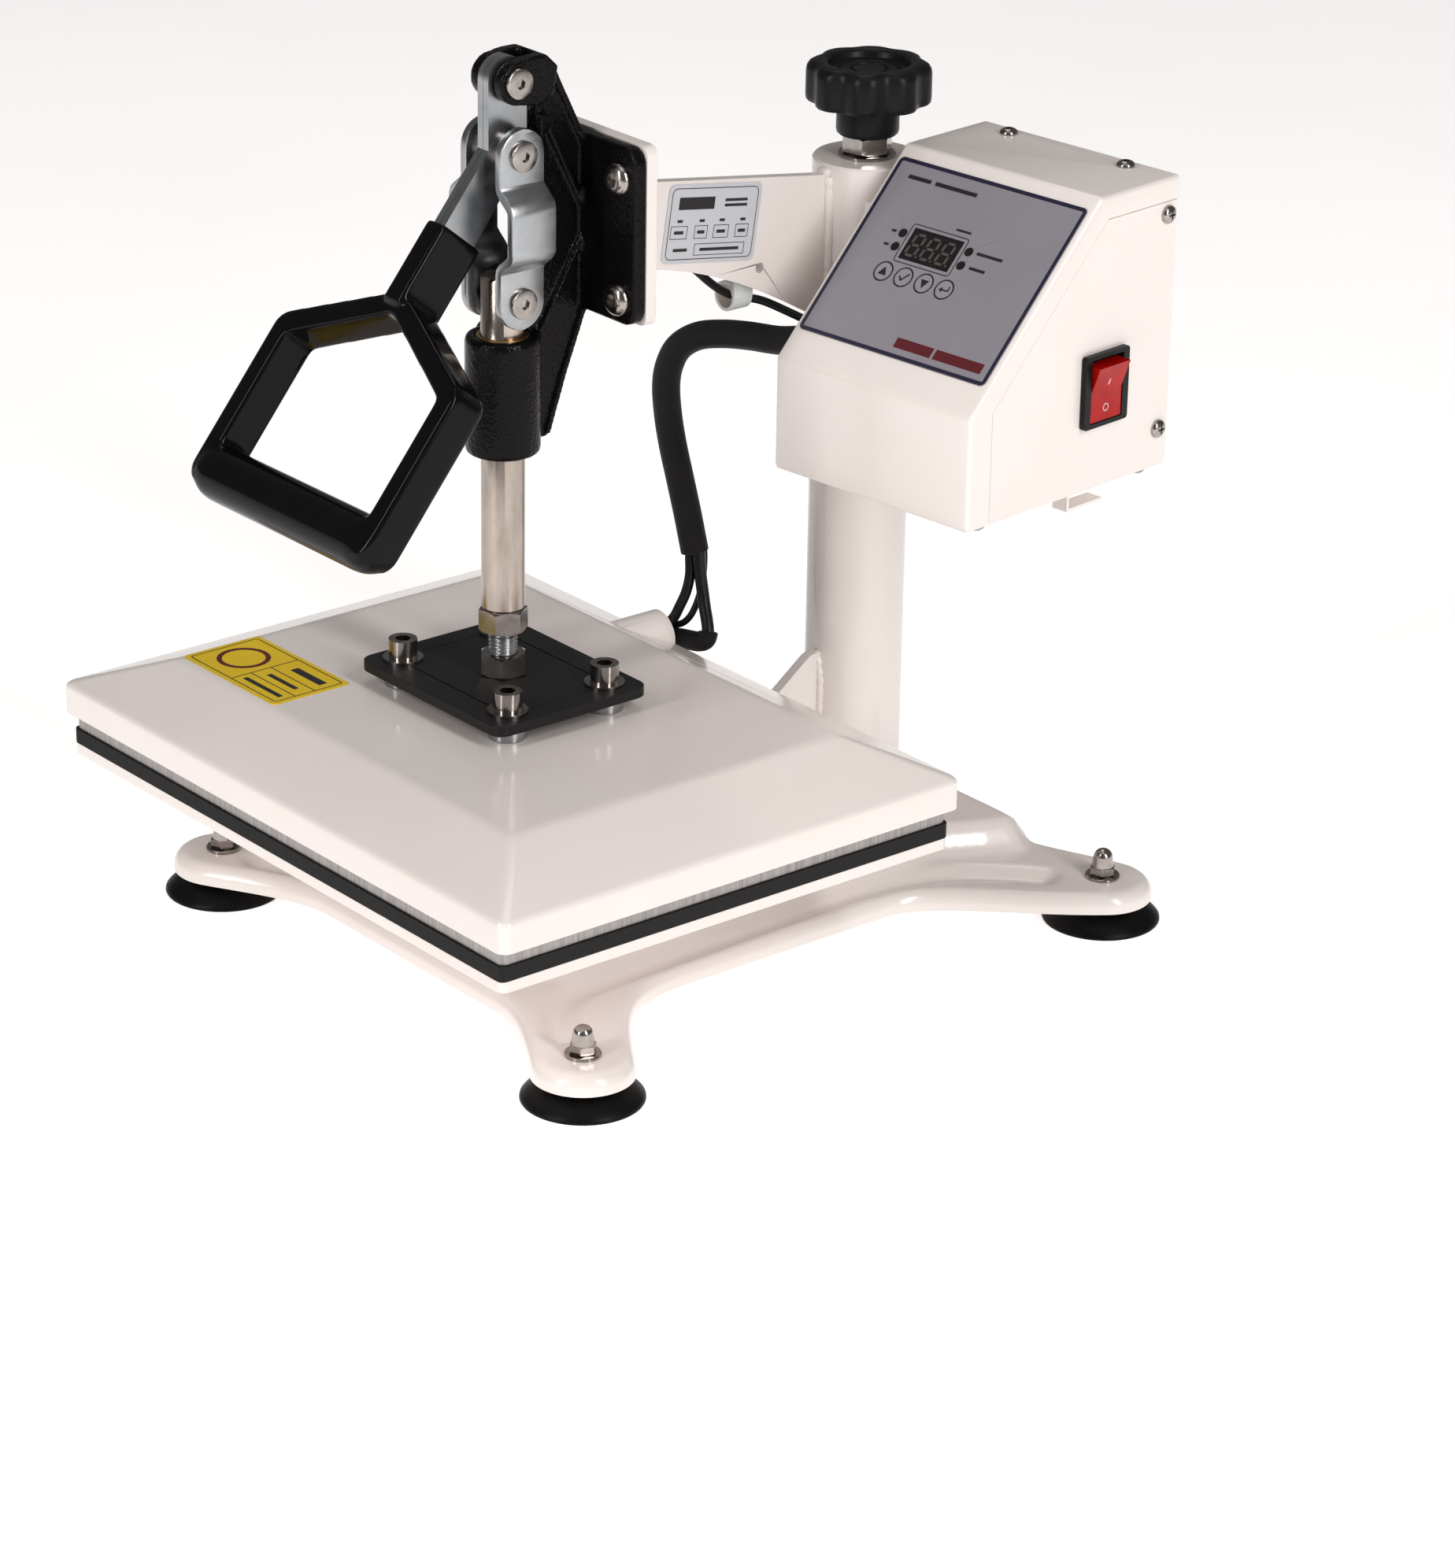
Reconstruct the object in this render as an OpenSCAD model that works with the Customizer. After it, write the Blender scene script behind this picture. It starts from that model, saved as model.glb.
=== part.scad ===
// Swing-away heat press: base with suction feet, column, swing arm with a toggle linkage,
// heated platen and controller box. Millimetres, +Z up, front of the press towards -Y.

/* [Platens] */
// Width of the lower platen, left to right
platen_w = 302; // [280:1:320]
// Depth of the lower platen, front to back
platen_d = 230; // [220:1:240]
// Thickness of the lower platen plate
platen_t = 4.8; // [4:0.1:6]
// Height of the underside of the lower platen
platen_z = 71.6; // [70:0.1:74]
// Thickness of the silicone pad
pad_t = 6.5; // [5:0.1:8]
// Width of the heated platen's cover
cover_w = 310; // [306:1:324]
// Depth of the heated platen's cover
cover_d = 235; // [232:1:246]
// Sheet thickness of covers and casings
sheet_t = 1.5; // [1:0.1:2]

/* [Base] */
// Half distance between the left and right feet
foot_x = 126.8; // [120:0.2:130]
// Distance of the front feet in front of the platen centre
foot_front = 56.2; // [50:0.2:60]
// Distance of the rear feet behind the platen centre
foot_rear = 227.2; // [222:0.2:232]
// Radius of a leg's round end
leg_r = 21.5; // [20:0.5:23]
// Radius of a suction foot's rim
cup_r = 25.5; // [24:0.5:27]
// Height of the top of the legs
leg_z = 19; // [18:0.5:21]
// Height of the raised middle of the base
deck_z = 31; // [28:0.5:34]

/* [Column and arm] */
// Distance of the column axis behind the platen centre
column_y = 192.2; // [188:0.2:196]
// Outer radius of the column tube
column_r = 21.3; // [20:0.1:22]
// Height of the top of the column tube
column_top = 214; // [210:0.5:218]
// Outer radius of the arm's sleeve
sleeve_r = 23; // [22.5:0.1:24]
// Height of the top of the arm's sleeve
sleeve_top = 317; // [315:0.5:319]
// Highest rise of the arm under the pressure knob
lift_max = 6; // [4:0.5:6]

/* [Toggle linkage] */
// Height of the fixed upper pivot
upper_pivot_z = 382; // [380:0.5:384]
// Distance from the upper to the middle pivot
crank_len = 29; // [28:0.5:30]
// Distance from the middle to the lower pivot
link_len = 61; // [60:0.5:62]
// Diameter of the press shaft
shaft_d = 18; // [17:0.5:18]
// Angle of the handle below the horizontal when closed
handle_angle = 51; // [48:0.5:54]
// Width of the handle's flat bars
bar_w = 19; // [18:0.5:20]

/* [Controller box] */
// Width of the controller box
box_w = 108.3; // [106:0.1:110]
// Depth of the controller box
box_d = 123.9; // [122:0.1:126]
// Height of the box's underside
box_z = 204.5; // [203:0.5:206]
// Height of the box's top
box_top = 328.6; // [327:0.2:330]
// Height where the sloping panel starts
panel_z = 252.2; // [250:0.2:254]
// Horizontal depth of the sloping panel
panel_run = 75.5; // [74:0.1:76]
// Angle that the box is turned by about the vertical
box_yaw = 6.1; // [5:0.1:7]
// Diameter of a membrane key
key_d = 8; // [7:0.5:8]

/* [Hidden] */

$fn = 48;

// The part's origin is under the middle of its bounding box; the shapes below are
// drawn about the platen centre and moved there by in_frame().
frame_y = (foot_rear + cup_r - cover_d / 2) / 2;

// Heights of the platen stack
pad_z = platen_z + platen_t;
// The closed platens stand a hair apart
closed_gap = 0.2;
heat_z = pad_z + pad_t + closed_gap;
heat_t = 12;
mat_t = 4;
skirt_z = heat_z + 7;
rim_z = skirt_z + 12.8;
cover_z = rim_z + 15.3;
flat_w = 232;
flat_d = 168;
spreader_z = cover_z + 6.3;
spreader_t = 4.5;
spreader_top = spreader_z + spreader_t;
spreader_w = 97;
spreader_d = 78;
screw_x = 36;
screw_y = 25;
screw_hole_r = 3.4;
hood_x = -43;
hood_r = 11;
hood_len = 24.5;

// Base
skirt_low = 10.5;
base_wall = 2.5;
front_edge = -50;
rear_edge = 228;
side_edge = 88;
stud_r = 3;
post_r = column_r - 2.5;
post_bottom = 140;
post_top = 306;
insert_t = 18;

// Running gaps
run = 0.05;
gap = 0.4;

// Knob stack
screw_r = 6;
cap_t = 6;
washer_t = 1.6;
knob_nut_z = sleeve_top + washer_t;
knob_nut_t = 8;
hub_z = knob_nut_z + knob_nut_t;
lobes_z = hub_z + 13.4;
lobes_h = 18;
nut_flats = 18;

// Toggle
middle_pivot_z = upper_pivot_z - crank_len;
lower_pivot_z = middle_pivot_z - link_len;
shaft_r = shaft_d / 2;
shaft_bottom = 158;
shaft_top = lower_pivot_z + 9;
pivot_r = 5;
pivot_head_r = 6.3;
pivot_head_t = 1.8;
bar_t = 3.4;
bar_in = 0.1;
link_in = shaft_r + gap;
link_t = 4;
link_out = link_in + link_t;
link_w = 22;
ear_in = 5;
ear_out = 10.5;
barrel_r = 15.5;
barrel_z = 226;
barrel_h = 50;
bush_r = 11;
web_t = 10;
flange_y = 36;
flange_t = 6;
flange_w = 79;
flange_z = 281;
flange_h = 74;
arm_flange_t = 5;
arm_t = 5;
bracket_bolt_x = 29;
bracket_bolt_z = [291, 341];

// Handle, along its own slope: s runs down the handle, w across its bars' width
bend_z = middle_pivot_z - 2;
dip_s = 37.5;
neck_s = 74;
shoulder_s = 98;
grip_s = 164;
grip_half = 56;
grip_t = 10;
grip_w = 18;
sleeve_w = 24;
grip_bar_r = 11.5;

// Controller box, in its own frame: u to the right, v to the back
box_x = 33.6;
box_y = 116;
panel_angle = atan2(box_top - panel_z, panel_run);
panel_len = norm([box_top - panel_z, panel_run]);
overlay_t = 0.5;
overlay_u = [2.6, 105.6];
overlay_s = [14.5, 101];
window_u = [30, 57.3];
window_s = [57, 72];
led_places = [[25.6, 68], [25.6, 61.4], [62, 68.3], [62, 61.6]];
led_r = 1.5;
key_u = [27.2, 38.4, 49.7, 60.9];
key_s = 49.4;
key_proud = 0.55;
key_t = 1.7;
rocker_v = 81;
rocker_z = 247;
rocker_hole = [22, 28];
rocker_half = 12.5;
rocker_w = 19;
rocker_tilt = 10;
box_screw_top = [[20.6, 117], [85, 117]];
box_screw_side = [[118, 313], [118, 220]];
box_screw_r = 1.9;
gland_v = 25;
gland_z = 252;
harness_r = 7;
wire_r = 2.7;
sensor_wire_r = 1.8;

// Routes, as points about the platen centre
harness_route = [
    [30.8, 141, 252], [22, 140, 252.2], [8, 138.5, 252], [-8, 136.5, 251], [-22, 133.5, 248.6],
    [-34, 130.5, 244.5], [-43, 127.5, 237.5], [-48, 125.5, 228], [-49, 124.5, 217],
    [-47, 124, 204], [-43.5, 124, 190], [-39.4, 124.8, 176], [-35, 126, 159.6], [-31, 127, 143.4]
];
feed_route = [
    [-27.4, 126.4, 142.2], [-27.2, 127.2, 134], [-26.2, 127.8, 126], [-24.2, 127.4, 119.6],
    [-21.4, 126.4, 114.8], [-19.4, 125.4, 110.4], [-20, 124.6, 106.8], [-23.4, 123.8, 105],
    [-28, 123.2, 104.2], [-33, 123, 103.4], [-37.6, 122.2, 102.6], [-41.2, 119.8, 101.8],
    [-43, 116, 101.2], [-43.2, 112, 101], [-43.2, 108, 101]
];
return_route = [
    [-32.8, 125.8, 141.2], [-32.2, 125.4, 133], [-33, 124, 125], [-34.8, 121.8, 118],
    [-36.8, 120.6, 113], [-38.6, 118.6, 110], [-39.6, 115.6, 108.8], [-40, 112, 108.4], [-40, 108, 108.4]
];
signal_route = [
    [-29.6, 131, 142.8], [-29.8, 131, 134], [-30.2, 130, 126], [-30.8, 128, 119],
    [-32, 125.6, 113.6], [-35.6, 124, 109.6], [-40.6, 121.8, 107.8], [-44.6, 117.6, 107.6],
    [-46.6, 112.6, 107.4], [-46.8, 108, 107.4]
];
// The feed's own short sleeve starts at this point of its route
feed_sleeve_start = 5;
feed_sleeve_r = 4.4;
return_r = 2.3;
signal_r = 1.5;
sensor_route = [
    [29.6, 153.6, 252.6], [20, 151.5, 254.1], [8, 147.5, 257], [-3, 140, 261.5],
    [-7.5, 133, 263.6], [-7.5, 123, 267.2], [-7.5, 114, 273.5], [-7.5, 103, 283], [-7.5, 92, 289.5],
    [-7.5, 78, 291], [-8, 64, 287], [-9, 52, 278], [-13, 38, 275], [-17, 24, 276],
    [-19.4, 12, 276.4], [-20, 4, 272.6], [-19.6, 3, 266], [-19.4, 8, 260]
];

// ---------- helpers ----------

module in_frame() {
    translate([0, -frame_y, 0]) children();
}

module box_frame() {
    in_frame() translate([box_x, box_y, 0]) rotate([0, 0, box_yaw]) children();
}

// x along the box's width, y up the slope, z out of the panel
module on_panel() {
    box_frame() translate([0, 0, panel_z]) rotate([panel_angle, 0, 0]) children();
}

// x towards the back, y up, z out of the box's right wall
module on_right_wall() {
    box_frame() translate([box_w, 0, 0]) rotate([90, 0, 90]) children();
}

// x across the press, y down the handle, z towards its front
module on_handle() {
    in_frame() translate([0, 0, bend_z]) rotate([-180 + handle_angle, 0, 0]) children();
}

// A profile drawn in the Y-Z plane, extruded along X from x0 to x1
module side_extrude(x0, x1) {
    in_frame() translate([x0, 0, 0]) rotate([90, 0, 90]) linear_extrude(x1 - x0) children();
}

module mirror_x() {
    children();
    mirror([1, 0, 0]) children();
}

module rod_z(r, z0, z1) {
    translate([0, 0, z0]) cylinder(r = r, h = z1 - z0);
}

module rod_x(r, x0, x1, y, z) {
    translate([x0, y, z]) rotate([0, 90, 0]) cylinder(r = r, h = x1 - x0);
}

module rod_y(r, y0, y1, x, z) {
    translate([x, y0, z]) rotate([-90, 0, 0]) cylinder(r = r, h = y1 - y0);
}

module hex_nut(flats, z0, z1) {
    translate([0, 0, z0]) cylinder(r = flats / sqrt(3), h = z1 - z0, $fn = 6);
}

function arc(cx, cy, r, a0, a1, n) =
    [for (i = [0:n]) let (a = a0 + (a1 - a0) * i / n) [cx + r * cos(a), cy + r * sin(a)]];

function bezier(p, n) =
    [for (i = [1:n - 1]) let (t = i / n, q = 1 - t)
        q * q * q * p[0] + 3 * q * q * t * p[1] + 3 * q * t * t * p[2] + t * t * t * p[3]];

function rounded_rect(w, d, r, n = 5) = concat(
    arc(w / 2 - r, d / 2 - r, r, 0, 90, n),
    arc(-w / 2 + r, d / 2 - r, r, 90, 180, n),
    arc(-w / 2 + r, -d / 2 + r, r, 180, 270, n),
    arc(w / 2 - r, -d / 2 + r, r, 270, 360, n));

// Stadium between two points a distance len apart along -Y, width 2 r
function stadium(len, r, n = 12) = concat(arc(0, 0, r, 0, 180, n), arc(0, -len, r, 180, 360, n));

function unit(v) = v / norm(v);

// Direction of the route at point i
function heading(p, i) = unit(p[min(i + 1, len(p) - 1)] - p[max(i - 1, 0)]);

// Rings of a tube along a route; the sideways vector is taken against the X-ish axis a
function tube_ring(p, i, r, sides, a) =
    let (t = heading(p, i), s = unit(cross(t, a)), c = cross(s, t))
    [for (k = [0:sides - 1]) let (g = 360 * k / sides) p[i] + r * (cos(g) * s + sin(g) * c)];

// One point between each pair of the route's points, on a smooth curve through them
function smooth_route(p) = [
    for (i = [0:len(p) - 2], h = [0, 0.5])
        let (a = p[max(i - 1, 0)], b = p[i], c = p[i + 1], d = p[min(i + 2, len(p) - 1)])
        h == 0 ? b : (b + c) * 0.5625 - (a + d) * 0.0625,
    p[len(p) - 1]
];

module tube(route, r, sides, a) {
    p = smooth_route(route);
    n = len(p);
    points = [for (i = [0:n - 1]) each tube_ring(p, i, r, sides, a)];
    walls = [for (i = [0:n - 2], k = [0:sides - 1]) let (j = (k + 1) % sides)
        each [[i * sides + k, i * sides + j, (i + 1) * sides + j],
              [i * sides + k, (i + 1) * sides + j, (i + 1) * sides + k]]];
    first = [[for (k = [sides - 1:-1:0]) k]];
    last = [[for (k = [0:sides - 1]) (n - 1) * sides + k]];
    in_frame() polyhedron(points = points, faces = concat(walls, first, last));
}

// ---------- base ----------

// Right half of the base's outline, from the front middle round to the rear middle
function base_half(d) = let (r = leg_r - d, side = side_edge - d, front = front_edge + d) concat(
    [[0, front], [58, front]],
    bezier([[58, front], [78, front], [100, -66 + d],
        [foot_x + r * cos(-118), -foot_front + r * sin(-118)]], 6),
    arc(foot_x, -foot_front, r, -118, 56, 12),
    bezier([[foot_x + r * cos(56), -foot_front + r * sin(56)], [112, -20], [side, -6], [side, 24]], 8),
    [[side, 24], [side, 138]],
    bezier([[side, 138], [side, 160], [124, 186], [foot_x + r * cos(-35), foot_rear + r * sin(-35)]], 8),
    arc(foot_x, foot_rear, r, -35, 111, 10),
    bezier([[foot_x + r * cos(111), foot_rear + r * sin(111)], [96, 239 - d],
        [80, rear_edge - d], [58, rear_edge - d]], 6),
    [[58, rear_edge - d], [0, rear_edge - d]]);

module base_outline(d) {
    half = base_half(d);
    left = [for (i = [len(half) - 2:-1:1]) [-half[i][0], half[i][1]]];
    polygon(concat(half, left));
}

module deck_outline(d) {
    polygon([[-52 + d, -40 + d], [52 - d, -40 + d], [72 - d, -20], [72 - d, 196], [56 - d, 214 - d],
        [-56 + d, 214 - d], [-72 + d, 196], [-72 + d, -20]]);
}

module foot_places() {
    for (sx = [-1, 1], y = [-foot_front, foot_rear]) translate([sx * foot_x, y, 0]) children();
}

module base_frame() {
    color("linen") in_frame() difference() {
        union() {
            translate([0, 0, skirt_low]) linear_extrude(leg_z - skirt_low) base_outline(0);
            translate([0, 0, skirt_low]) linear_extrude(deck_z - skirt_low) deck_outline(0);
        }
        translate([0, 0, skirt_low - 1]) linear_extrude(leg_z - base_wall - skirt_low + 1)
            base_outline(base_wall);
        translate([0, 0, skirt_low]) linear_extrude(deck_z - base_wall - skirt_low)
            deck_outline(base_wall);
        foot_places() rod_z(stud_r, 0, leg_z + 1);
    }
}

module platen_support() {
    support_w = 90;
    support_d = 110;
    wall = 3;
    color("linen") in_frame() translate([-support_w / 2, -50, deck_z]) difference() {
        cube([support_w, support_d, platen_z - deck_z]);
        translate([wall, -1, wall])
            cube([support_w - 2 * wall, support_d + 2, platen_z - deck_z - 2 * wall]);
    }
}

module lower_platen() {
    color("linen") in_frame() translate([0, 0, platen_z])
        linear_extrude(platen_t) polygon(rounded_rect(platen_w, platen_d, 4));
}

module silicone_pad() {
    color("black") in_frame() translate([0, 0, pad_z])
        linear_extrude(pad_t) polygon(rounded_rect(platen_w, platen_d, 3));
}

module suction_feet() {
    neck_r = 10;
    color("black") in_frame() foot_places() rotate_extrude() polygon([
        [stud_r, 3], [0, 3], [0, 0], [cup_r, 0], [cup_r, 1.5], [cup_r - 2.5, 3.5], [19, 6.2],
        [neck_r + 2, 9], [neck_r, 10.5], [neck_r, leg_z - base_wall], [stud_r, leg_z - base_wall]]);
}

module foot_nuts() {
    cap_r = 4.2;
    color("silver") in_frame() foot_places() {
        rod_z(stud_r, 3, leg_z + 2);
        rod_z(7.5, leg_z, leg_z + 1.4);
        hex_nut(10, leg_z + 1.4, leg_z + 5.6);
        rod_z(cap_r, leg_z + 5.6, leg_z + 8.4);
        translate([0, 0, leg_z + 8.4]) intersection() {
            sphere(r = cap_r);
            rod_z(cap_r, 0, cap_r);
        }
    }
}

module column_tube() {
    color("linen") in_frame() translate([0, column_y, 0]) difference() {
        union() {
            rod_z(column_r, deck_z, column_top);
            rod_z(column_r + 3, deck_z, deck_z + 3);
        }
        rod_z(post_r, deck_z - 1, column_top + 1);
    }
}

module column_gusset() {
    gusset_t = 5;
    back = column_y - column_r;
    color("linen") difference() {
        side_extrude(-gusset_t / 2, gusset_t / 2) polygon(concat(
            [[back + 2, deck_z], [back + 2, 97]],
            arc(back - 2, 88, 9, 90, 128, 4),
            [[84, deck_z + 5], [84, deck_z]]));
        in_frame() translate([0, column_y, 0]) rod_z(column_r, deck_z - 1, 100);
        in_frame() translate([0, column_y, 0]) rod_z(column_r + 3, deck_z - 1, deck_z + 3);
    }
}

module inner_post() {
    color("silver") in_frame() translate([0, column_y, 0]) difference() {
        rod_z(post_r, post_bottom, post_top);
        rod_z(post_r - 4, post_bottom - 1, post_top + 1);
    }
}

module post_insert() {
    color("goldenrod") in_frame() translate([0, column_y, 0]) difference() {
        rod_z(post_r - 4, post_top - insert_t, post_top);
        rod_z(screw_r, post_top - insert_t - 1, post_top + 1);
    }
}

// ---------- swivel bush and knob ----------

module swivel_bush() {
    color("goldenrod") in_frame() translate([0, column_y, 0]) difference() {
        union() {
            rod_z(sleeve_r - 0.5, column_top, column_top + 1.5);
            rod_z(post_r + 1.2, column_top, column_top + 60);
        }
        rod_z(post_r + run, column_top - 1, column_top + 61);
    }
}

module knob_lobes(r, bump, count) {
    polygon([for (i = [0:95]) let (a = 360 * i / 96) (r + bump * cos(count * a)) * [cos(a), sin(a)]]);
}

module star_knob() {
    knob_r = 25.2;
    color("black") in_frame() translate([0, column_y, 0]) difference() {
        union() {
            rod_z(13.4, hub_z, lobes_z + 2);
            translate([0, 0, lobes_z]) linear_extrude(lobes_h - 3) knob_lobes(knob_r, 1.3, 8);
            translate([0, 0, lobes_z + lobes_h - 3]) linear_extrude(3) knob_lobes(knob_r - 3, 1.2, 8);
        }
        rod_z(17, lobes_z + lobes_h - 4, lobes_z + lobes_h + 1);
        rod_z(screw_r - run, hub_z - 1, lobes_z + 12);
    }
}

module knob_nut() {
    color("silver") in_frame() translate([0, column_y, 0]) difference() {
        union() {
            hex_nut(nut_flats + 1, knob_nut_z, hub_z);
            rod_z(12.2, sleeve_top, knob_nut_z);
        }
        rod_z(screw_r - run, sleeve_top - 1, hub_z + 1);
    }
}

module pressure_screw() {
    color("silver") in_frame() translate([0, column_y, 0])
        rod_z(screw_r - run, post_top - insert_t - 14, lobes_z + 12);
}

// ---------- swing arm ----------

module arm_sleeve() {
    bore_r = post_r + 1.2 + run;
    color("linen") in_frame() translate([0, column_y, 0]) difference() {
        union() {
            rod_z(sleeve_r, column_top + 1.5, sleeve_top - 1);
            rod_z(sleeve_r - 1, sleeve_top - 1, sleeve_top);
        }
        rod_z(bore_r, column_top, sleeve_top - cap_t);
        rod_z(screw_r + 0.4, sleeve_top - cap_t - 1, sleeve_top + 1);
    }
}

module arm_plate() {
    back = flange_y + flange_t + arm_flange_t;
    color("linen") difference() {
        union() {
            side_extrude(-arm_t / 2, arm_t / 2) polygon(concat(
                [[back, 291], [back + 20, 290.6]],
                bezier([[back + 20, 290.6], [105, 285], [138, 268], [column_y - 20, 246]], 8),
                [[column_y - 20, 246], [column_y - 20, 312.4], [back, 330.4]]));
            in_frame() translate([0, back, flange_z + flange_h / 2]) rotate([90, 0, 0])
                linear_extrude(arm_flange_t) polygon(rounded_rect(flange_w + 1, flange_h + 1, 4));
        }
        in_frame() translate([0, column_y, 0]) rod_z(sleeve_r, 240, 320);
        in_frame() rod_x(2.2, -arm_t, arm_t, 132.4, 279);
        for (sx = [-1, 1], z = bracket_bolt_z) in_frame() rod_y(4, back - 8, back + 1, sx * bracket_bolt_x, z);
    }
}

module toggle_bracket() {
    web_front = 13;
    color("black") difference() {
        union() {
            // Web between the barrel, the flange and the clevis
            side_extrude(-web_t / 2, web_t / 2) polygon([
                [6, barrel_z + 3], [19.7, barrel_z + 3], [27, 253], [flange_y + 1, flange_z - 3],
                [flange_y + 1, 352], [23, 385], [17, 390], [web_front + 1, 390], [web_front, 300],
                [8, barrel_z + barrel_h - 1], [6, barrel_z + barrel_h - 1]]);
            // Flange
            in_frame() translate([0, flange_y + flange_t, flange_z + flange_h / 2]) rotate([90, 0, 0])
                linear_extrude(flange_t) polygon(rounded_rect(flange_w, flange_h, 7));
            // Clevis block
            side_extrude(-ear_out, ear_out) polygon(concat(
                arc(0.8, upper_pivot_z - 0.4, 9, 100, 270, 14),
                [[12, upper_pivot_z - 11], [18, upper_pivot_z - 7], [20, upper_pivot_z + 4],
                    [14, upper_pivot_z + 9.6], [7, upper_pivot_z + 9.6]]));
            // Barrel round the shaft
            in_frame() rod_z(barrel_r, barrel_z, barrel_z + barrel_h);
        }
        in_frame() rod_z(bush_r, barrel_z - 1, barrel_z + barrel_h + 1);
        in_frame() rod_z(shaft_r + gap, barrel_z, barrel_z + barrel_h + 14);
        in_frame() translate([-ear_in, -20, upper_pivot_z - 16]) cube([2 * ear_in, 20 + web_front, 32]);
        in_frame() rod_x(pivot_r, -ear_out - 1, ear_out + 1, 0, upper_pivot_z);
        for (sx = [-1, 1], z = bracket_bolt_z)
            in_frame() rod_y(4, flange_y - 1, flange_y + 8, sx * bracket_bolt_x, z);
    }
}

module bracket_bolts() {
    head_r = 7;
    color("silver") for (sx = [-1, 1], z = bracket_bolt_z) in_frame() {
        rod_y(4, flange_y, flange_y + flange_t + arm_flange_t, sx * bracket_bolt_x, z);
        translate([sx * bracket_bolt_x, flange_y, z]) rotate([90, 0, 0]) difference() {
            cylinder(r1 = head_r, r2 = head_r - 3, h = 4.2);
            translate([0, 0, 2]) cylinder(r = 5 / sqrt(3), h = 3, $fn = 6);
        }
    }
}

module guide_bush() {
    color("goldenrod") in_frame() difference() {
        rod_z(bush_r, barrel_z + 0.5, barrel_z + barrel_h);
        rod_z(shaft_r + run, barrel_z - 1, barrel_z + barrel_h + 1);
    }
}

module pivot_head(x, z) {
    difference() {
        rod_x(pivot_head_r, x, x + pivot_head_t, 0, z);
        translate([x + 0.6, 0, z]) rotate([0, 90, 0]) cylinder(r = 4 / sqrt(3), h = 3, $fn = 6);
    }
}

module upper_pivot_bolt() {
    color("silver") in_frame() {
        rod_x(pivot_r, -ear_out, ear_out, 0, upper_pivot_z);
        mirror_x() pivot_head(ear_out, upper_pivot_z);
    }
}

module rating_label() {
    color("gainsboro") in_frame() translate([arm_t / 2, 106, 303.5]) rotate([-8.5, 0, 0])
        rotate([90, 0, 90]) linear_extrude(0.4) polygon(rounded_rect(50, 33.5, 3));
}

module cable_clip() {
    clip_y = [123, 133];
    ring_x = -9.2;
    ring_z = 265.5;
    color("ghostwhite") in_frame() difference() {
        union() {
            rod_y(6.5, clip_y[0], clip_y[1], ring_x, ring_z);
            translate([-arm_t / 2 - 2, clip_y[0], ring_z]) cube([2, 10, 20]);
        }
        rod_y(5, clip_y[0] - 1, clip_y[1] + 1, ring_x, ring_z);
        rod_x(2.2, -5, 0, 128, 282);
    }
}

module position_switch() {
    color("dimgray") in_frame() {
        translate([-24, 2, 236]) cube([8.4, 20, 24]);
        translate([-16, 8, 240]) difference() {
            cube([6, 10, 14]);
            translate([16, -8, -20]) cylinder(r = barrel_r, h = 60);
        }
        translate([-21.5, -1, 238]) cube([3.4, 3, 14]);
    }
}

module sensor_wire() {
    color("black") tube(sensor_route, sensor_wire_r, 8, [0, 0, 1]);
}

module box_bracket() {
    color("linen") difference() {
        box_frame() translate([-6, 58, 225]) cube([6, 42, 80]);
        in_frame() translate([0, column_y, 0]) rod_z(sleeve_r, 220, 310);
    }
}

// ---------- controller box ----------

function box_profile(t) = let (k = t * tan(panel_angle / 2)) [
    [t, box_z - 1], [t, panel_z - k], [panel_run + t * tan((90 - panel_angle) / 2) + 0 * k, box_top - t],
    [box_d + 1, box_top - t], [box_d + 1, box_z - 1]];

// The box's outline from the side, extruded across it between u0 and u1
module box_solid(u0, u1, t) {
    translate([u0, 0, 0]) rotate([90, 0, 90]) linear_extrude(u1 - u0) intersection() {
        polygon(box_profile(t));
        translate([0, box_z - (t > 0 ? 1 : 0)]) square([box_d + (t > 0 ? 1 : 0), 200]);
    }
}

module box_shell() {
    color("linen") difference() {
        box_frame() box_solid(0, box_w, 0);
        box_frame() box_solid(sheet_t, box_w - sheet_t, sheet_t);
        on_panel() translate([window_u[0], window_s[0], -4])
            cube([window_u[1] - window_u[0], window_s[1] - window_s[0], 8]);
        on_panel() for (p = led_places) translate([p[0], p[1], -4]) cylinder(r = led_r, h = 8);
        on_panel() for (u = key_u) translate([u, key_s, -4]) cylinder(r = key_d / 2 + 0.4, h = 8);
        on_right_wall() translate([rocker_v - rocker_hole[0] / 2, rocker_z - rocker_hole[1] / 2, -4])
            cube([rocker_hole[0], rocker_hole[1], 8]);
        box_frame() rod_x(harness_r + 1, -2, 4, gland_v, gland_z);
        box_frame() rod_x(sensor_wire_r, -2, 4, 38, 252.6);
        box_frame() for (p = box_screw_top) translate([p[0], p[1], 0]) rod_z(box_screw_r, box_top - 4, box_top + 1);
        box_frame() for (p = box_screw_side) rod_x(box_screw_r, -1, box_w + 1, p[0], p[1]);
    }
}

module box_rear_cover() {
    in_u = sheet_t;
    wide = box_w - 2 * sheet_t;
    high = box_top - sheet_t - box_z - 1;
    lip = 13;
    color("linen") box_frame() difference() {
        translate([in_u, box_d - lip, box_z + 1]) cube([wide, lip, high]);
        translate([in_u + sheet_t, box_d - lip - 1, box_z]) cube([wide - 2 * sheet_t, lip + 1 - sheet_t, high + 1 - sheet_t]);
        for (p = box_screw_top) translate([p[0], p[1], 0]) rod_z(box_screw_r, box_top - 5, box_top);
        for (p = box_screw_side) rod_x(box_screw_r, 0, box_w, p[0], p[1]);
    }
}

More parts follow.
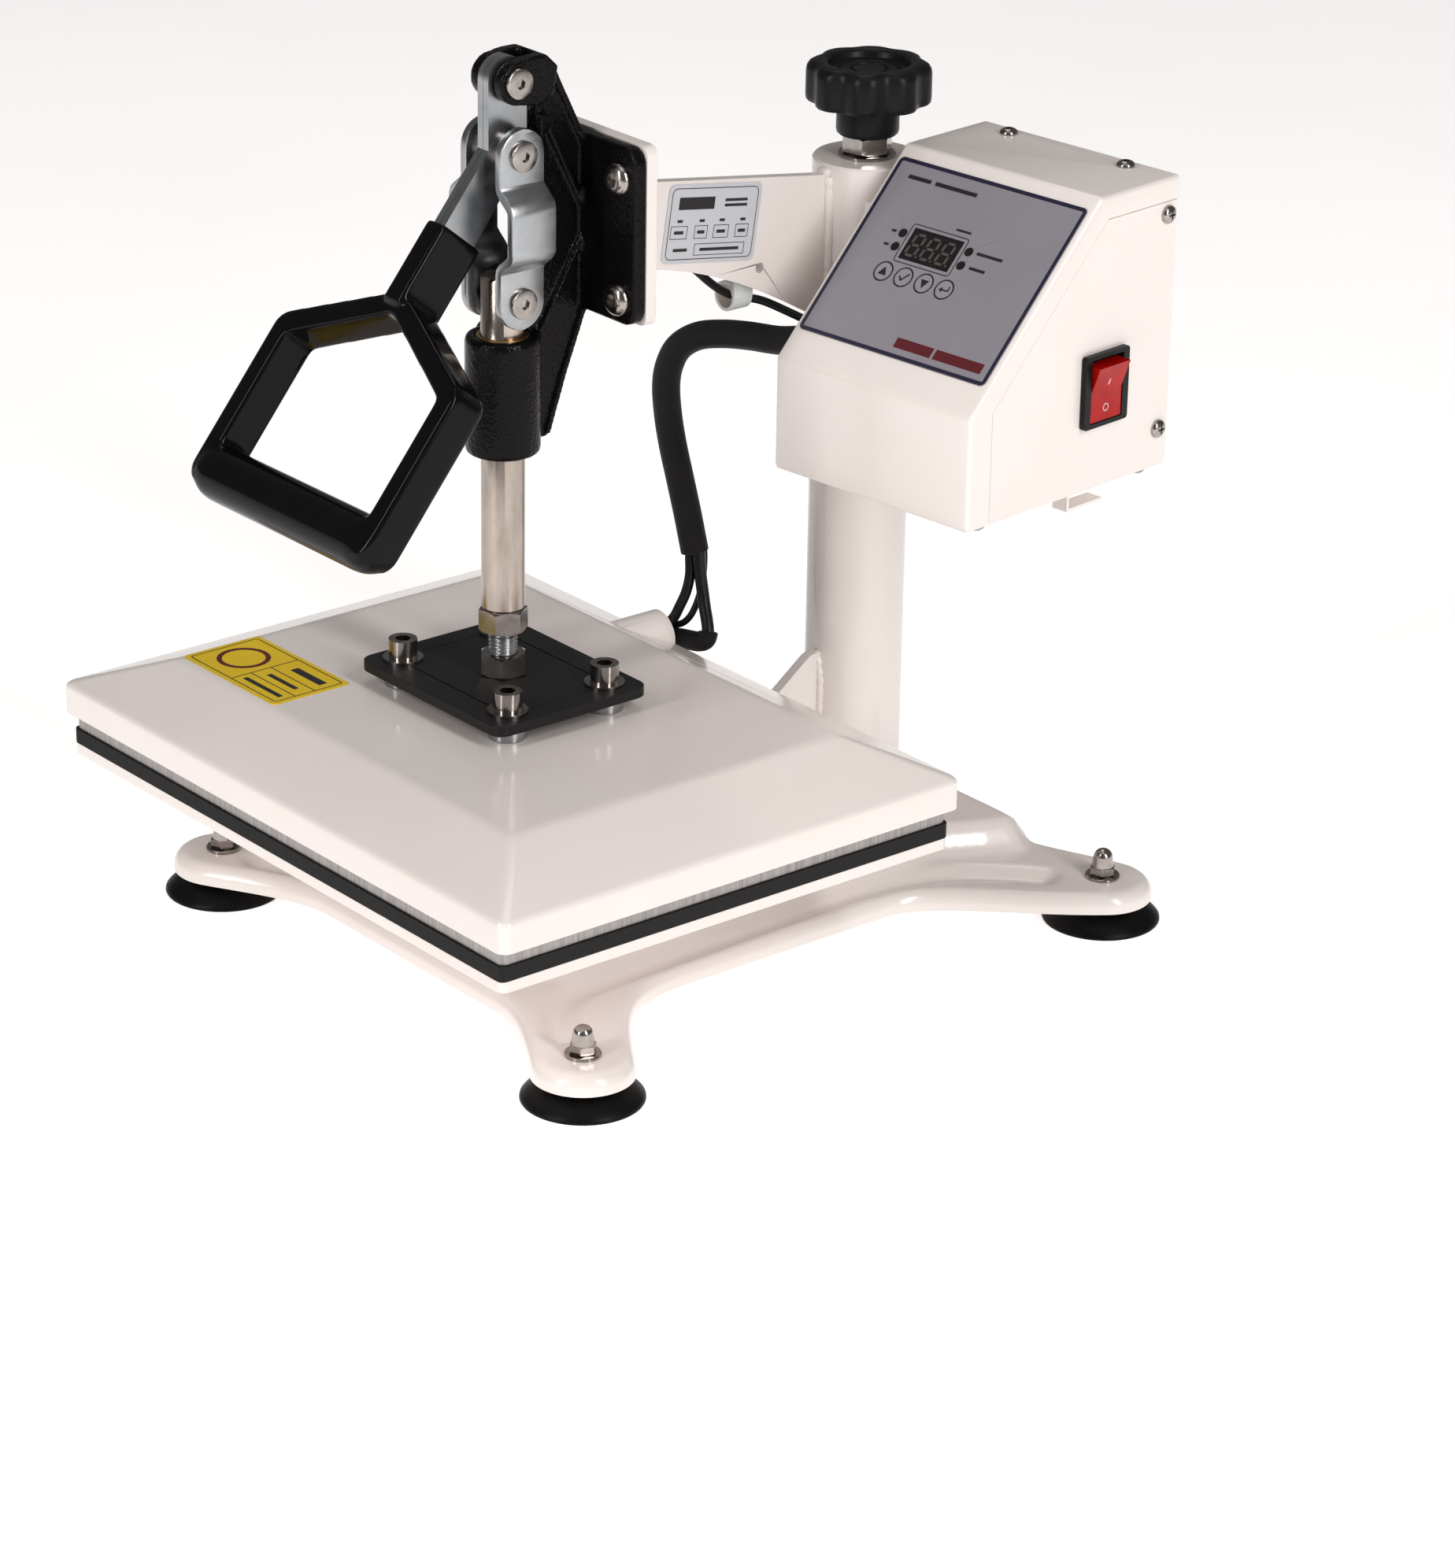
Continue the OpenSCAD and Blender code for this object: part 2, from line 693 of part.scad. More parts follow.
module box_bottom_plate() {
    plate_t = 1.3;
    color("linen") box_frame() difference() {
        union() {
            translate([0.8, 0.8, box_z - plate_t]) cube([box_w - 1.6, box_d - 1.6, plate_t]);
            // Bent tab that holds the supply lead
            translate([box_w - 10, 64, box_z - plate_t - 6]) cube([8, 1.5, 6]);
            translate([box_w - 10, 64, box_z - plate_t - 7.5]) cube([8, 22, 1.5]);
        }
        translate([60, 96, 0]) rod_z(7, box_z - 4, box_z + 1);
        for (u = [12, box_w - 6], v = [12, box_d - 12]) translate([u, v, 0]) rod_z(box_screw_r, box_z - 4, box_z + 1);
    }
}

module pan_head() {
    rotate_extrude() polygon([[0, 0], [3.9, 0], [3.9, 0.9], [3.1, 2], [1.6, 2.5], [0, 2.6]]);
}

module box_screws() {
    grip = 2 * sheet_t + 2;
    color("silver") box_frame() {
        for (p = box_screw_top) translate([p[0], p[1], box_top]) {
            pan_head();
            rod_z(box_screw_r, -grip, 0);
        }
        for (p = box_screw_side) {
            translate([box_w, p[0], p[1]]) rotate([0, 90, 0]) {
                pan_head();
                rod_z(box_screw_r, -grip, 0);
            }
            translate([0, p[0], p[1]]) rotate([0, -90, 0]) {
                pan_head();
                rod_z(box_screw_r, -grip, 0);
            }
        }
        for (u = [12, box_w - 6], v = [12, box_d - 12]) translate([u, v, box_z - 1.3]) rotate([180, 0, 0]) {
            pan_head();
            rod_z(box_screw_r, -1.3, 0);
        }
    }
}

module mains_gland() {
    color("black") box_frame() translate([60, 96, 0]) difference() {
        union() {
            rod_z(7, box_z - 1.3, box_z + 6);
            hex_nut(19, box_z - 6.3, box_z - 1.3);
            rod_z(8, box_z - 14, box_z - 6.3);
            hex_nut(18, box_z, box_z + 4);
        }
        rod_z(3.8, box_z - 15, box_z + 7);
    }
}

module control_board() {
    color("darkgreen") on_panel() {
        translate([12, 20, -14]) cube([84, 66, 1.6]);
        translate([window_u[0] + 1, window_s[0] + 1, -12.4]) cube([window_u[1] - window_u[0] - 2, 13, 9.4]);
        translate([70, 30, -12.4]) cube([14, 10, 6]);
    }
}

module power_module() {
    color("dimgray") box_frame() {
        translate([10, 46, box_z + 1]) cube([50, 34, 8]);
        for (i = [0:6]) translate([11 + 7.5 * i, 46, box_z + 9]) cube([2, 34, 16]);
    }
}

module panel_overlay() {
    middle = [(overlay_u[0] + overlay_u[1]) / 2, (overlay_s[0] + overlay_s[1]) / 2];
    size = [overlay_u[1] - overlay_u[0], overlay_s[1] - overlay_s[0]];
    color("slategray") on_panel() difference() {
        translate([middle[0], middle[1], 0]) linear_extrude(overlay_t) polygon(rounded_rect(size[0], size[1], 2.5));
        translate([window_u[0], window_s[0], -1])
            cube([window_u[1] - window_u[0], window_s[1] - window_s[0], 3]);
        for (p = led_places) translate([p[0], p[1], -1]) cylinder(r = led_r, h = 3);
        for (u = key_u) translate([u, key_s, -1]) cylinder(r = key_d / 2 + 0.2, h = 3);
    }
}

module display_window() {
    color("black") on_panel() translate([window_u[0], window_s[0], -2])
        cube([window_u[1] - window_u[0], window_s[1] - window_s[0], 2.4]);
}

module indicator_leds() {
    color("maroon") on_panel() for (p = led_places) translate([p[0], p[1], -4]) cylinder(r = led_r, h = 4.9);
}

module key(u) {
    color("silver") on_panel() translate([u, key_s, key_proud - key_t])
        cylinder(r = key_d / 2, h = key_t);
}

module key_up() { key(key_u[0]); }
module key_ok() { key(key_u[1]); }
module key_down() { key(key_u[2]); }
module key_enter() { key(key_u[3]); }

module rocker_bezel() {
    bezel = [27, 31.5];
    color("black") on_right_wall() translate([rocker_v, rocker_z, 0]) difference() {
        union() {
            linear_extrude(2.5) polygon(rounded_rect(bezel[0], bezel[1], 1.5));
            translate([-rocker_hole[0] / 2, -rocker_hole[1] / 2, -20]) cube([rocker_hole[0], rocker_hole[1], 21]);
        }
        translate([-rocker_w / 2 - 0.3, -13.7, -15]) cube([rocker_w + 0.6, 27.4, 19]);
    }
}

// Seen from its side: a shallow V face over a flat body, tipped about its pivot
module rocker() {
    face = rocker_half * tan(rocker_tilt);
    color("red") on_right_wall() translate([rocker_v - rocker_w / 2, rocker_z, -2]) rotate([90, 0, 90]) {
        linear_extrude(rocker_w) rotate(rocker_tilt) polygon([
            [-rocker_half, 4.2 + face], [0, 4.2], [rocker_half, 4.2 + face], [rocker_half - 1, -1],
            [5, -9], [-5, -9], [-rocker_half + 1, -1]]);
        // Pivot stubs
        translate([0, 0, -0.25]) cylinder(r = 1.8, h = rocker_w + 0.5);
    }
}

module harness_gland() {
    color("black") box_frame() difference() {
        union() {
            rod_x(harness_r + 3, -1.8, 0, gland_v, gland_z);
            rod_x(harness_r + 1, 0, 3, gland_v, gland_z);
            rod_x(harness_r + 3, sheet_t, 3.5, gland_v, gland_z);
        }
        rod_x(harness_r, -3, 5, gland_v, gland_z);
    }
}

// ---------- handle and links ----------

module handle_bars() {
    hw = bar_w / 2;
    neck = dip_s + 14;
    a = handle_angle;
    down = [-cos(a), -sin(a)];
    front = [-sin(a), cos(a)];
    bend = [0, bend_z];
    turn = hw * tan((90 - a) / 2);
    color("silver") difference() {
        for (x0 = [bar_in, -bar_in - bar_t]) side_extrude(x0, x0 + bar_t) polygon(concat(
            arc(0, upper_pivot_z, hw, 0, 180, 14),
            [[-hw, bend_z + turn], bend + neck * down + hw * front, bend + neck * down - hw * front],
            arc(0, bend_z, hw, -a + 52, 0, 4)));
        in_frame() rod_x(pivot_r + run, -6, 6, 0, upper_pivot_z);
        in_frame() rod_x(pivot_r, -6, 6, 0, middle_pivot_z);
    }
}

// One side of the loop: neck, shoulder and side strap, as a flat outline across the press
module grip_side() {
    t = grip_t / 2;
    inner = grip_half - t;
    outer = grip_half + t;
    polygon(concat(
        [[1.5, neck_s + 4.5], [-1, neck_s + 4.5], [-1, neck_s - 4], [6, neck_s - 4]],
        arc(outer - 7, shoulder_s + 1, 7, -62, 0, 5),
        [[outer, grip_s], [inner, grip_s], [inner, shoulder_s + 4]]));
}

module handle_grip() {
    sleeve_half = bar_in + bar_t + 2;
    color("black") difference() {
        union() {
            on_handle() translate([-sleeve_half, dip_s, -sleeve_w / 2])
                cube([2 * sleeve_half, neck_s - dip_s, sleeve_w]);
            on_handle() translate([0, 0, -grip_w / 2]) linear_extrude(grip_w) grip_side();
            on_handle() translate([0, 0, -grip_w / 2]) linear_extrude(grip_w) mirror([1, 0, 0]) grip_side();
            on_handle() rod_x(grip_bar_r, -grip_half - grip_t / 2, grip_half + grip_t / 2, grip_s, 0);
        }
        handle_bars();
    }
}

module middle_pivot_bolt() {
    color("silver") in_frame() {
        rod_x(pivot_r, -link_out, link_out, 0, middle_pivot_z);
        mirror_x() rod_x(8, bar_in + bar_t, link_in - 0.2, 0, middle_pivot_z);
        mirror_x() pivot_head(link_out, middle_pivot_z);
    }
}

// A link is a strap joggled outwards in its middle, with round eyes
module side_links() {
    bulge = 8;
    z2 = middle_pivot_z;
    z3 = lower_pivot_z;
    outline = [
        [link_in, z3 - 12], [link_out, z3 - 12], [link_out, z3 + 14], [link_out + bulge, z3 + 21],
        [link_out + bulge, z2 - 20], [link_out, z2 - 12], [link_out, z2 + 12], [link_in, z2 + 12],
        [link_in, z2 - 13.5], [link_in + bulge, z2 - 22], [link_in + bulge, z3 + 22.5], [link_in, z3 + 15.5]];
    color("silver") in_frame() difference() {
        mirror_x() intersection() {
            translate([0, link_w / 2 + 1, 0]) rotate([90, 0, 0]) linear_extrude(link_w + 2) polygon(outline);
            translate([0, 0, z2]) rotate([90, 0, 90]) linear_extrude(40) polygon(stadium(link_len, link_w / 2));
        }
        rod_x(pivot_r + run, -30, 30, 0, z2);
        rod_x(pivot_r, -30, 30, 0, z3);
    }
}

module lower_pivot_pins() {
    color("silver") in_frame() mirror_x() union() {
        rod_x(pivot_r, link_in, link_out, 0, lower_pivot_z);
        pivot_head(link_out, lower_pivot_z);
    }
}

// ---------- press head ----------

module screw_places() {
    for (sx = [-1, 1], sy = [-1, 1]) translate([sx * screw_x, sy * screw_y, 0]) children();
}

module press_shaft() {
    color("silver") in_frame() difference() {
        union() {
            rod_z(shaft_r, shaft_bottom, shaft_top - 1);
            rod_z(shaft_r - 1, shaft_top - 1, shaft_top);
        }
        rod_z(screw_r, shaft_bottom - 1, shaft_bottom + 20);
        rod_x(pivot_r + run, -10, 10, 0, lower_pivot_z);
    }
}

module shaft_nut() {
    color("silver") in_frame() difference() {
        hex_nut(nut_flats, shaft_bottom - 10, shaft_bottom);
        rod_z(screw_r, shaft_bottom - 11, shaft_bottom + 1);
    }
}

module threaded_stud() {
    color("silver") in_frame() rod_z(screw_r, spreader_z, shaft_bottom + 19);
}

module plate_nut() {
    color("silver") in_frame() difference() {
        hex_nut(nut_flats, spreader_top, spreader_top + 9);
        rod_z(screw_r, spreader_top - 1, spreader_top + 10);
    }
}

module spreader_plate() {
    color("dimgray") in_frame() difference() {
        translate([0, 0, spreader_z]) linear_extrude(spreader_t) polygon(rounded_rect(spreader_w, spreader_d, 6));
        rod_z(screw_r, spreader_z - 1, spreader_top + 1);
        screw_places() rod_z(screw_hole_r, spreader_z - 1, spreader_top + 1);
    }
}

module plate_screws() {
    head_z = spreader_top + 1.5;
    color("silver") in_frame() screw_places() difference() {
        union() {
            rod_z(8.5, spreader_top, head_z);
            rod_z(6, head_z, head_z + 8);
            rod_z(3, heat_z + 6, head_z);
        }
        translate([0, 0, head_z + 3.5]) cylinder(r = 6 / sqrt(3), h = 6, $fn = 6);
    }
}

module standoffs() {
    color("silver") in_frame() screw_places() difference() {
        rod_z(8, cover_z, spreader_z);
        rod_z(screw_hole_r, cover_z - 1, spreader_z + 1);
    }
}

// Frustum-topped block: the cover's outer or, with inset t, inner shape
module cover_block(t, low) {
    hw = cover_w / 2 - t;
    hd = cover_d / 2 - t;
    translate([0, hd, 0]) rotate([90, 0, 0]) linear_extrude(2 * hd) polygon([
        [-hw, low], [hw, low], [hw, rim_z - t], [flat_w / 2, cover_z - t], [-flat_w / 2, cover_z - t], [-hw, rim_z - t]]);
}

module cover_block_side(t, low) {
    hw = cover_w / 2 - t;
    hd = cover_d / 2 - t;
    translate([-hw, 0, 0]) rotate([90, 0, 90]) linear_extrude(2 * hw) polygon([
        [-hd, low], [hd, low], [hd, rim_z - t], [flat_d / 2, cover_z - t], [-flat_d / 2, cover_z - t], [-hd, rim_z - t]]);
}

module platen_cover() {
    rear = cover_d / 2;
    color("linen") in_frame() difference() {
        union() {
            intersection() {
                cover_block(0, skirt_z);
                cover_block_side(0, skirt_z);
            }
            rod_y(hood_r, rear - hood_len, rear, hood_x, rim_z + 1);
        }
        intersection() {
            cover_block(sheet_t, skirt_z - 1);
            cover_block_side(sheet_t, skirt_z - 1);
        }
        rod_y(hood_r - sheet_t, rear - hood_len + sheet_t, rear + 1, hood_x, rim_z + 1);
        screw_places() rod_z(screw_hole_r, cover_z - 3, cover_z + 1);
    }
}

module insulation_mat() {
    color("wheat") in_frame() difference() {
        translate([0, 0, heat_z + heat_t]) linear_extrude(mat_t) polygon(rounded_rect(cover_w - 21, cover_d - 21, 3));
        screw_places() rod_z(screw_hole_r, heat_z + heat_t - 1, heat_z + heat_t + mat_t + 1);
    }
}

module heat_plate() {
    color("silver") in_frame() difference() {
        translate([0, 0, heat_z]) linear_extrude(heat_t) polygon(rounded_rect(platen_w - 2, platen_d - 2, 3));
        screw_places() rod_z(3, heat_z + 6, heat_z + heat_t + 1);
    }
}

module cover_label() {
    color("gold") in_frame() translate([-82, -62.5, cover_z]) linear_extrude(0.3) polygon(rounded_rect(67.5, 38.7, 2));
}

// ---------- harness ----------

module harness_sleeve() {
    color("black") tube(harness_route, harness_r, 12, [0, 1, 0]);
}

module harness_wires() {
    last = len(feed_route) - 1;
    color("black") {
        tube(feed_route, wire_r, 8, [1, -1, 0]);
        tube([for (i = [feed_sleeve_start:last]) feed_route[i]], feed_sleeve_r, 10, [1, -1, 0]);
        tube(return_route, return_r, 8, [1, 0, 0]);
        tube(signal_route, signal_r, 8, [1, -1, 0]);
    }
}

base_frame();
platen_support();
lower_platen();
silicone_pad();
suction_feet();
foot_nuts();
column_tube();
column_gusset();
inner_post();
post_insert();
swivel_bush();
star_knob();
knob_nut();
pressure_screw();
arm_sleeve();
arm_plate();
toggle_bracket();
bracket_bolts();
guide_bush();
upper_pivot_bolt();
rating_label();
cable_clip();
position_switch();
sensor_wire();
box_bracket();
box_shell();
box_rear_cover();
box_bottom_plate();
box_screws();
mains_gland();
control_board();
power_module();
panel_overlay();
display_window();
indicator_leds();
rocker_bezel();
harness_gland();
handle_bars();
handle_grip();
middle_pivot_bolt();
side_links();
lower_pivot_pins();
press_shaft();
shaft_nut();
threaded_stud();
plate_nut();
spreader_plate();
plate_screws();
standoffs();
platen_cover();
insulation_mat();
heat_plate();
cover_label();
key_up();
key_ok();
key_down();
key_enter();
rocker();
harness_sleeve();
harness_wires();
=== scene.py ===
import math

import bmesh
import bpy
import numpy as np
from mathutils import Matrix, Vector, noise
from mathutils.geometry import delaunay_2d_cdt


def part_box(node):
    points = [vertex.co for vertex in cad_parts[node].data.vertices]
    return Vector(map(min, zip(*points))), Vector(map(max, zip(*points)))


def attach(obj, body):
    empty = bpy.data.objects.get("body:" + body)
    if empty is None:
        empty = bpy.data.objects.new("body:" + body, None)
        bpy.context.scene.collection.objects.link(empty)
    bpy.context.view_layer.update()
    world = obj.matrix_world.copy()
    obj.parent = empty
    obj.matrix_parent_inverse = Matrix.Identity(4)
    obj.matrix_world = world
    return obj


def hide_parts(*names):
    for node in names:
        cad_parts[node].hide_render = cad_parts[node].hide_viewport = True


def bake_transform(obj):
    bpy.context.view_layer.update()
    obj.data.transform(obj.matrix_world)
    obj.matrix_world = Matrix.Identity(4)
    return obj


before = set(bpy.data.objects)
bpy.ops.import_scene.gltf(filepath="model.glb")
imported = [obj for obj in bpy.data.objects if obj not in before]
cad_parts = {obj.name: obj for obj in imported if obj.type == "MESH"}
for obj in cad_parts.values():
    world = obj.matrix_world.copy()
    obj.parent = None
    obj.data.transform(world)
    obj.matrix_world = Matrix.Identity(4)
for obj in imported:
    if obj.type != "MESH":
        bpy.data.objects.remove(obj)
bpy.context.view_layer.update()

# ---------- places: millimetres about the platen centre, as the CAD source draws them ----------

plate_low, plate_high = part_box("heat_plate")
MID = (plate_low + plate_high) / 2


def P(x, y, z):
    return Vector((MID.x + x / 1000, MID.y + y / 1000, z / 1000))


BOX_X, BOX_Y, YAW = 33.6, 116, math.radians(6.1)
BOX_W, BOX_D, BOX_Z, BOX_TOP = 108.3, 123.9, 204.5, 328.6
PANEL_Z, PANEL_RUN = 252.2, 75.5
SLOPE = math.atan2(BOX_TOP - PANEL_Z, PANEL_RUN)
COLUMN_Y = 192.2
UPPER, MIDDLE, LOWER = 382, 353, 292
COVER_Z = 118.2
COVER_W, COVER_D = 310, 235
PLATE_SCREWS = [(sx * 36, sy * 25) for sx in (-1, 1) for sy in (-1, 1)]
HOOD = (-43, 103.9)
FOOT_X, FOOT_FRONT, FOOT_REAR, FOOT_R = 126.8, -56.2, 227.2, 21.5
BOLT_X, BOLT_Z = 29, (291, 341)
TOP_SCREWS, SIDE_SCREWS, SIDE_SCREW_V = (20.6, 85), (313, 220), 118
HANDLE_ANGLE, HANDLE_PIVOT_Z = math.radians(-129), 351
KEY_ROW, FILM = 49.4, 0.5
LAMPS = [(25.6, 68), (25.6, 61.4), (62, 68.3), (62, 61.6)]
KEYS = (27.2, 38.4, 49.7, 60.9)


def B(u, v, z):
    """The controller box: u to the right, v to the back."""
    return P(BOX_X + u * math.cos(YAW) - v * math.sin(YAW), BOX_Y + u * math.sin(YAW) + v * math.cos(YAW), z)


def panel(u, s, n):
    """On the sloping panel: u to the right, s up the slope, n out of it."""
    return B(
        u, s * math.cos(SLOPE) - n * math.sin(SLOPE), PANEL_Z + s * math.sin(SLOPE) + n * math.cos(SLOPE))


def wall(a, b, n):
    """On the box's right wall: a to the back, b up, n out of it."""
    return B(BOX_W + n, a, b)


def grip(x, s, w):
    """Along the handle: s down it, w square to it."""
    a = HANDLE_ANGLE
    return P(x, s * math.cos(a) - w * math.sin(a), HANDLE_PIVOT_Z + s * math.sin(a) + w * math.cos(a))


def column(x, y, z):
    return P(x, COLUMN_Y + y, z)


# ---------- meshes ----------


def cosd(degrees):
    return math.cos(math.radians(degrees))


def sind(degrees):
    return math.sin(math.radians(degrees))


def arc(cx, cy, r, a0, a1, n):
    return [
        (cx + r * cosd(a0 + (a1 - a0) * i / n), cy + r * sind(a0 + (a1 - a0) * i / n)) for i in range(n + 1)]


def bezier(a, b, c, d, n):
    q = [np.array(p, float) for p in (a, b, c, d)]
    return [
        tuple((1 - t) ** 3 * q[0] + 3 * (1 - t) ** 2 * t * q[1] + 3 * (1 - t) * t * t * q[2] + t**3 * q[3])
        for t in (i / n for i in range(1, n))]


def rounded(w, d, r, n=6):
    x, y = w / 2 - r, d / 2 - r
    return arc(x, y, r, 0, 90, n) + arc(-x, y, r, 90, 180, n) + arc(-x, -y, r, 180, 270, n) + arc(
        x, -y, r, 270, 360, n)


def circle(cx, cy, r, n=48):
    return arc(cx, cy, r, 0, 360, n)[:-1]


def hexagon(r, turn, cx=0, cy=0):
    return [(cx + r * cosd(60 * k + turn), cy + r * sind(60 * k + turn)) for k in range(6)]


def rectangle(x, y, w, h):
    return shifted([(-w / 2, -h / 2), (w / 2, -h / 2), (w / 2, h / 2), (-w / 2, h / 2)], x, y)


def shifted(points, dx, dy):
    return [(x + dx, y + dy) for x, y in points]


def loft(rings, caps=True):
    """Closed rings of equal count, joined one to the next."""
    n = len(rings[0])
    verts = [tuple(p) for ring in rings for p in ring]
    faces = [
        (i * n + k, i * n + (k + 1) % n, (i + 1) * n + (k + 1) % n, (i + 1) * n + k)
        for i in range(len(rings) - 1) for k in range(n)]
    if caps:
        faces += [tuple(range(n - 1, -1, -1)), tuple((len(rings) - 1) * n + k for k in range(n))]
    return verts, faces


def lathe(profile, n=72, cx=0.0, cy=0.0, wave=None):
    """(radius, height) pairs turned about the vertical; a third number takes wave(angle) of lobes."""
    rings = []
    for r, z, *amp in profile:
        rings.append([
            (
                (r + (amp[0] * wave(a) if amp else 0)) * math.cos(a) + cx,
                (r + (amp[0] * wave(a) if amp else 0)) * math.sin(a) + cy, z)
            for a in (2 * math.pi * k / n for k in range(n))])
    return loft(rings)


def hollow(profile, n=72, cx=0.0, cy=0.0):
    """A turned tube: the profile comes back to its own start, so it has no end faces."""
    verts, faces = lathe(profile, n, cx, cy)
    return verts, faces[:-2]


def prism(outline, h0, h1, order="xyz"):
    """An outline extruded; order says which of the placed axes the outline's two and the height go to."""
    at = ["xyz".index(c) for c in order]

    def put(p, q, h):
        v = [0, 0, 0]
        v[at[0]], v[at[1]], v[at[2]] = p, q, h
        return tuple(v)

    return loft([[put(p, q, h) for p, q in outline] for h in (h0, h1)])


def rod(r, centre, h0, h1, order="xyz", n=48):
    return prism(circle(centre[0], centre[1], r, n), h0, h1, order)


def merged(*parts):
    verts, faces = [], []
    for v, f in parts:
        base = len(verts)
        verts += v
        faces += [tuple(i + base for i in face) for face in f]
    return verts, faces


def new_object(name, data):
    o = bpy.data.objects.new(name, data)
    bpy.context.scene.collection.objects.link(o)
    return o


def build(name, shape, place=P):
    verts, faces = shape
    me = bpy.data.meshes.new(name)
    me.from_pydata([place(*v) for v in verts], [], faces)
    bm = bmesh.new()
    bm.from_mesh(me)
    bmesh.ops.recalc_face_normals(bm, faces=bm.faces)
    bm.to_mesh(me)
    bm.free()
    return new_object(name, me)


def bake(o):
    """Applies the object's modifiers to its mesh."""
    dg = bpy.context.evaluated_depsgraph_get()
    me = bpy.data.meshes.new_from_object(o.evaluated_get(dg))
    o.modifiers.clear()
    o.data = me
    return o


def carve(o, *cutters, how="DIFFERENCE"):
    for c in cutters:
        m = o.modifiers.new("carve", "BOOLEAN")
        m.operation, m.solver, m.object = how, "EXACT", c
    bpy.context.view_layer.update()
    bake(o)
    for c in cutters:
        bpy.data.objects.remove(c)
    return o


def shade(o, angle=34):
    o.data.shade_smooth()
    o.data.set_sharp_from_angle(angle=math.radians(angle))
    return o


def soften(o, width, segments=2, angle=30):
    """Rounds the edges of a piece; width is in millimetres."""
    found = o.data.attributes.get("custom_normal")
    if found:
        o.data.attributes.remove(found)
    o.data.shade_smooth()
    weld = o.modifiers.new("weld", "WELD")
    weld.merge_threshold = 0.00001
    m = o.modifiers.new("edge", "BEVEL")
    m.width, m.segments, m.limit_method, m.angle_limit = width / 1000, segments, "ANGLE", math.radians(angle)
    m.miter_outer = "MITER_ARC"
    o.modifiers.new("normals", "WEIGHTED_NORMAL").weight = 80
    return o


def finish_piece(o, body, slot, *nodes, material=None):
    o.data.materials.clear()
    o.data.materials.append(material or MATERIALS[slot])
    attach(o, body)
    if nodes:
        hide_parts(*nodes)
    return o


# ---------- materials ----------


def add_node(nt, kind, **values):
    """A shader node; each value goes to the node's own setting, or to its input of that name."""
    n = nt.nodes.new(kind)
    for key, value in values.items():
        if hasattr(n, key):
            setattr(n, key, value)
        else:
            n.inputs[key.replace("_", " ")].default_value = value
    return n


def mix_colours(nt, source, stops, target):
    ramp = add_node(nt, "ShaderNodeValToRGB")
    for element, (position, colour) in zip(ramp.color_ramp.elements, stops):
        element.position = position
        element.color = (*colour, 1)
    nt.links.new(source, ramp.inputs["Fac"])
    nt.links.new(ramp.outputs["Color"], target)


def relief(nt, height, depth, bsdf):
    b = add_node(nt, "ShaderNodeBump", Strength=1.0, Distance=depth)
    nt.links.new(height, b.inputs["Height"])
    nt.links.new(b.outputs[0], bsdf.inputs["Normal"])


def material(
    name, colour, rough, metal=0.0, second=None, blotch=60.0, bump=0.0, bump_size=1.0, grain=(1, 1, 1),
    coat=0.0, spread=0.05, pattern="noise", **inputs
):
    """Two close colours mixed by noise, a varying roughness and a fine relief. Sizes are in millimetres."""
    m = bpy.data.materials.new(name)
    m.use_nodes = True
    nt = m.node_tree
    link = nt.links.new
    bsdf = nt.nodes["Principled BSDF"]
    coords = add_node(nt, "ShaderNodeTexCoord")
    stretch = add_node(nt, "ShaderNodeMapping", Scale=grain)
    link(coords.outputs["Object"], stretch.inputs["Vector"])
    big = add_node(nt, "ShaderNodeTexNoise", Scale=1000 / blotch, Detail=5.0, Roughness=0.6)
    link(stretch.outputs[0], big.inputs["Vector"])
    other = second or tuple(c * 0.93 for c in colour)
    mix_colours(nt, big.outputs["Fac"], ((0.35, other), (0.68, colour)), bsdf.inputs["Base Color"])
    vary = add_node(nt, "ShaderNodeMapRange", To_Min=max(0.02, rough - spread), To_Max=min(1, rough + spread))
    link(big.outputs["Fac"], vary.inputs["Value"])
    link(vary.outputs[0], bsdf.inputs["Roughness"])
    if bump:
        if pattern == "noise":
            fine = add_node(nt, "ShaderNodeTexNoise", Scale=1000 / bump_size, Detail=2.0)
            height = fine.outputs["Fac"]
        else:
            fine = add_node(nt, "ShaderNodeTexVoronoi", feature="SMOOTH_F1", Scale=1000 / bump_size)
            height = fine.outputs["Distance"]
        link(stretch.outputs[0], fine.inputs["Vector"])
        relief(nt, height, bump / 1000, bsdf)
    bsdf.inputs["Metallic"].default_value = metal
    bsdf.inputs["Coat Weight"].default_value = coat
    bsdf.inputs["Coat Roughness"].default_value = 0.06
    for key, value in inputs.items():
        bsdf.inputs[key.replace("_", " ")].default_value = value
    return m


def braid_material(name, turns):
    """Crossing strands drawn along a tube's own map, with a few paler threads."""
    m = material(name, (0.006, 0.006, 0.0065), 0.5, spread=0.1, Specular_IOR_Level=0.25)
    nt = m.node_tree
    bsdf = nt.nodes["Principled BSDF"]
    uv = add_node(nt, "ShaderNodeTexCoord")
    mix = add_node(nt, "ShaderNodeMath", operation="MULTIPLY")
    for i, lean in enumerate((1, -1)):
        slant = add_node(nt, "ShaderNodeMapping", Rotation=(0, 0, math.radians(38 * lean)))
        strands = add_node(nt, "ShaderNodeTexWave", Scale=turns, Distortion=0.4)
        nt.links.new(uv.outputs["UV"], slant.inputs["Vector"])
        nt.links.new(slant.outputs[0], strands.inputs["Vector"])
        nt.links.new(strands.outputs["Fac"], mix.inputs[i])
    stops = ((0.45, (0.005, 0.005, 0.0055)), (0.95, (0.14, 0.13, 0.13)))
    mix_colours(nt, mix.outputs[0], stops, bsdf.inputs["Base Color"])
    relief(nt, mix.outputs[0], 0.0006, bsdf)
    return m


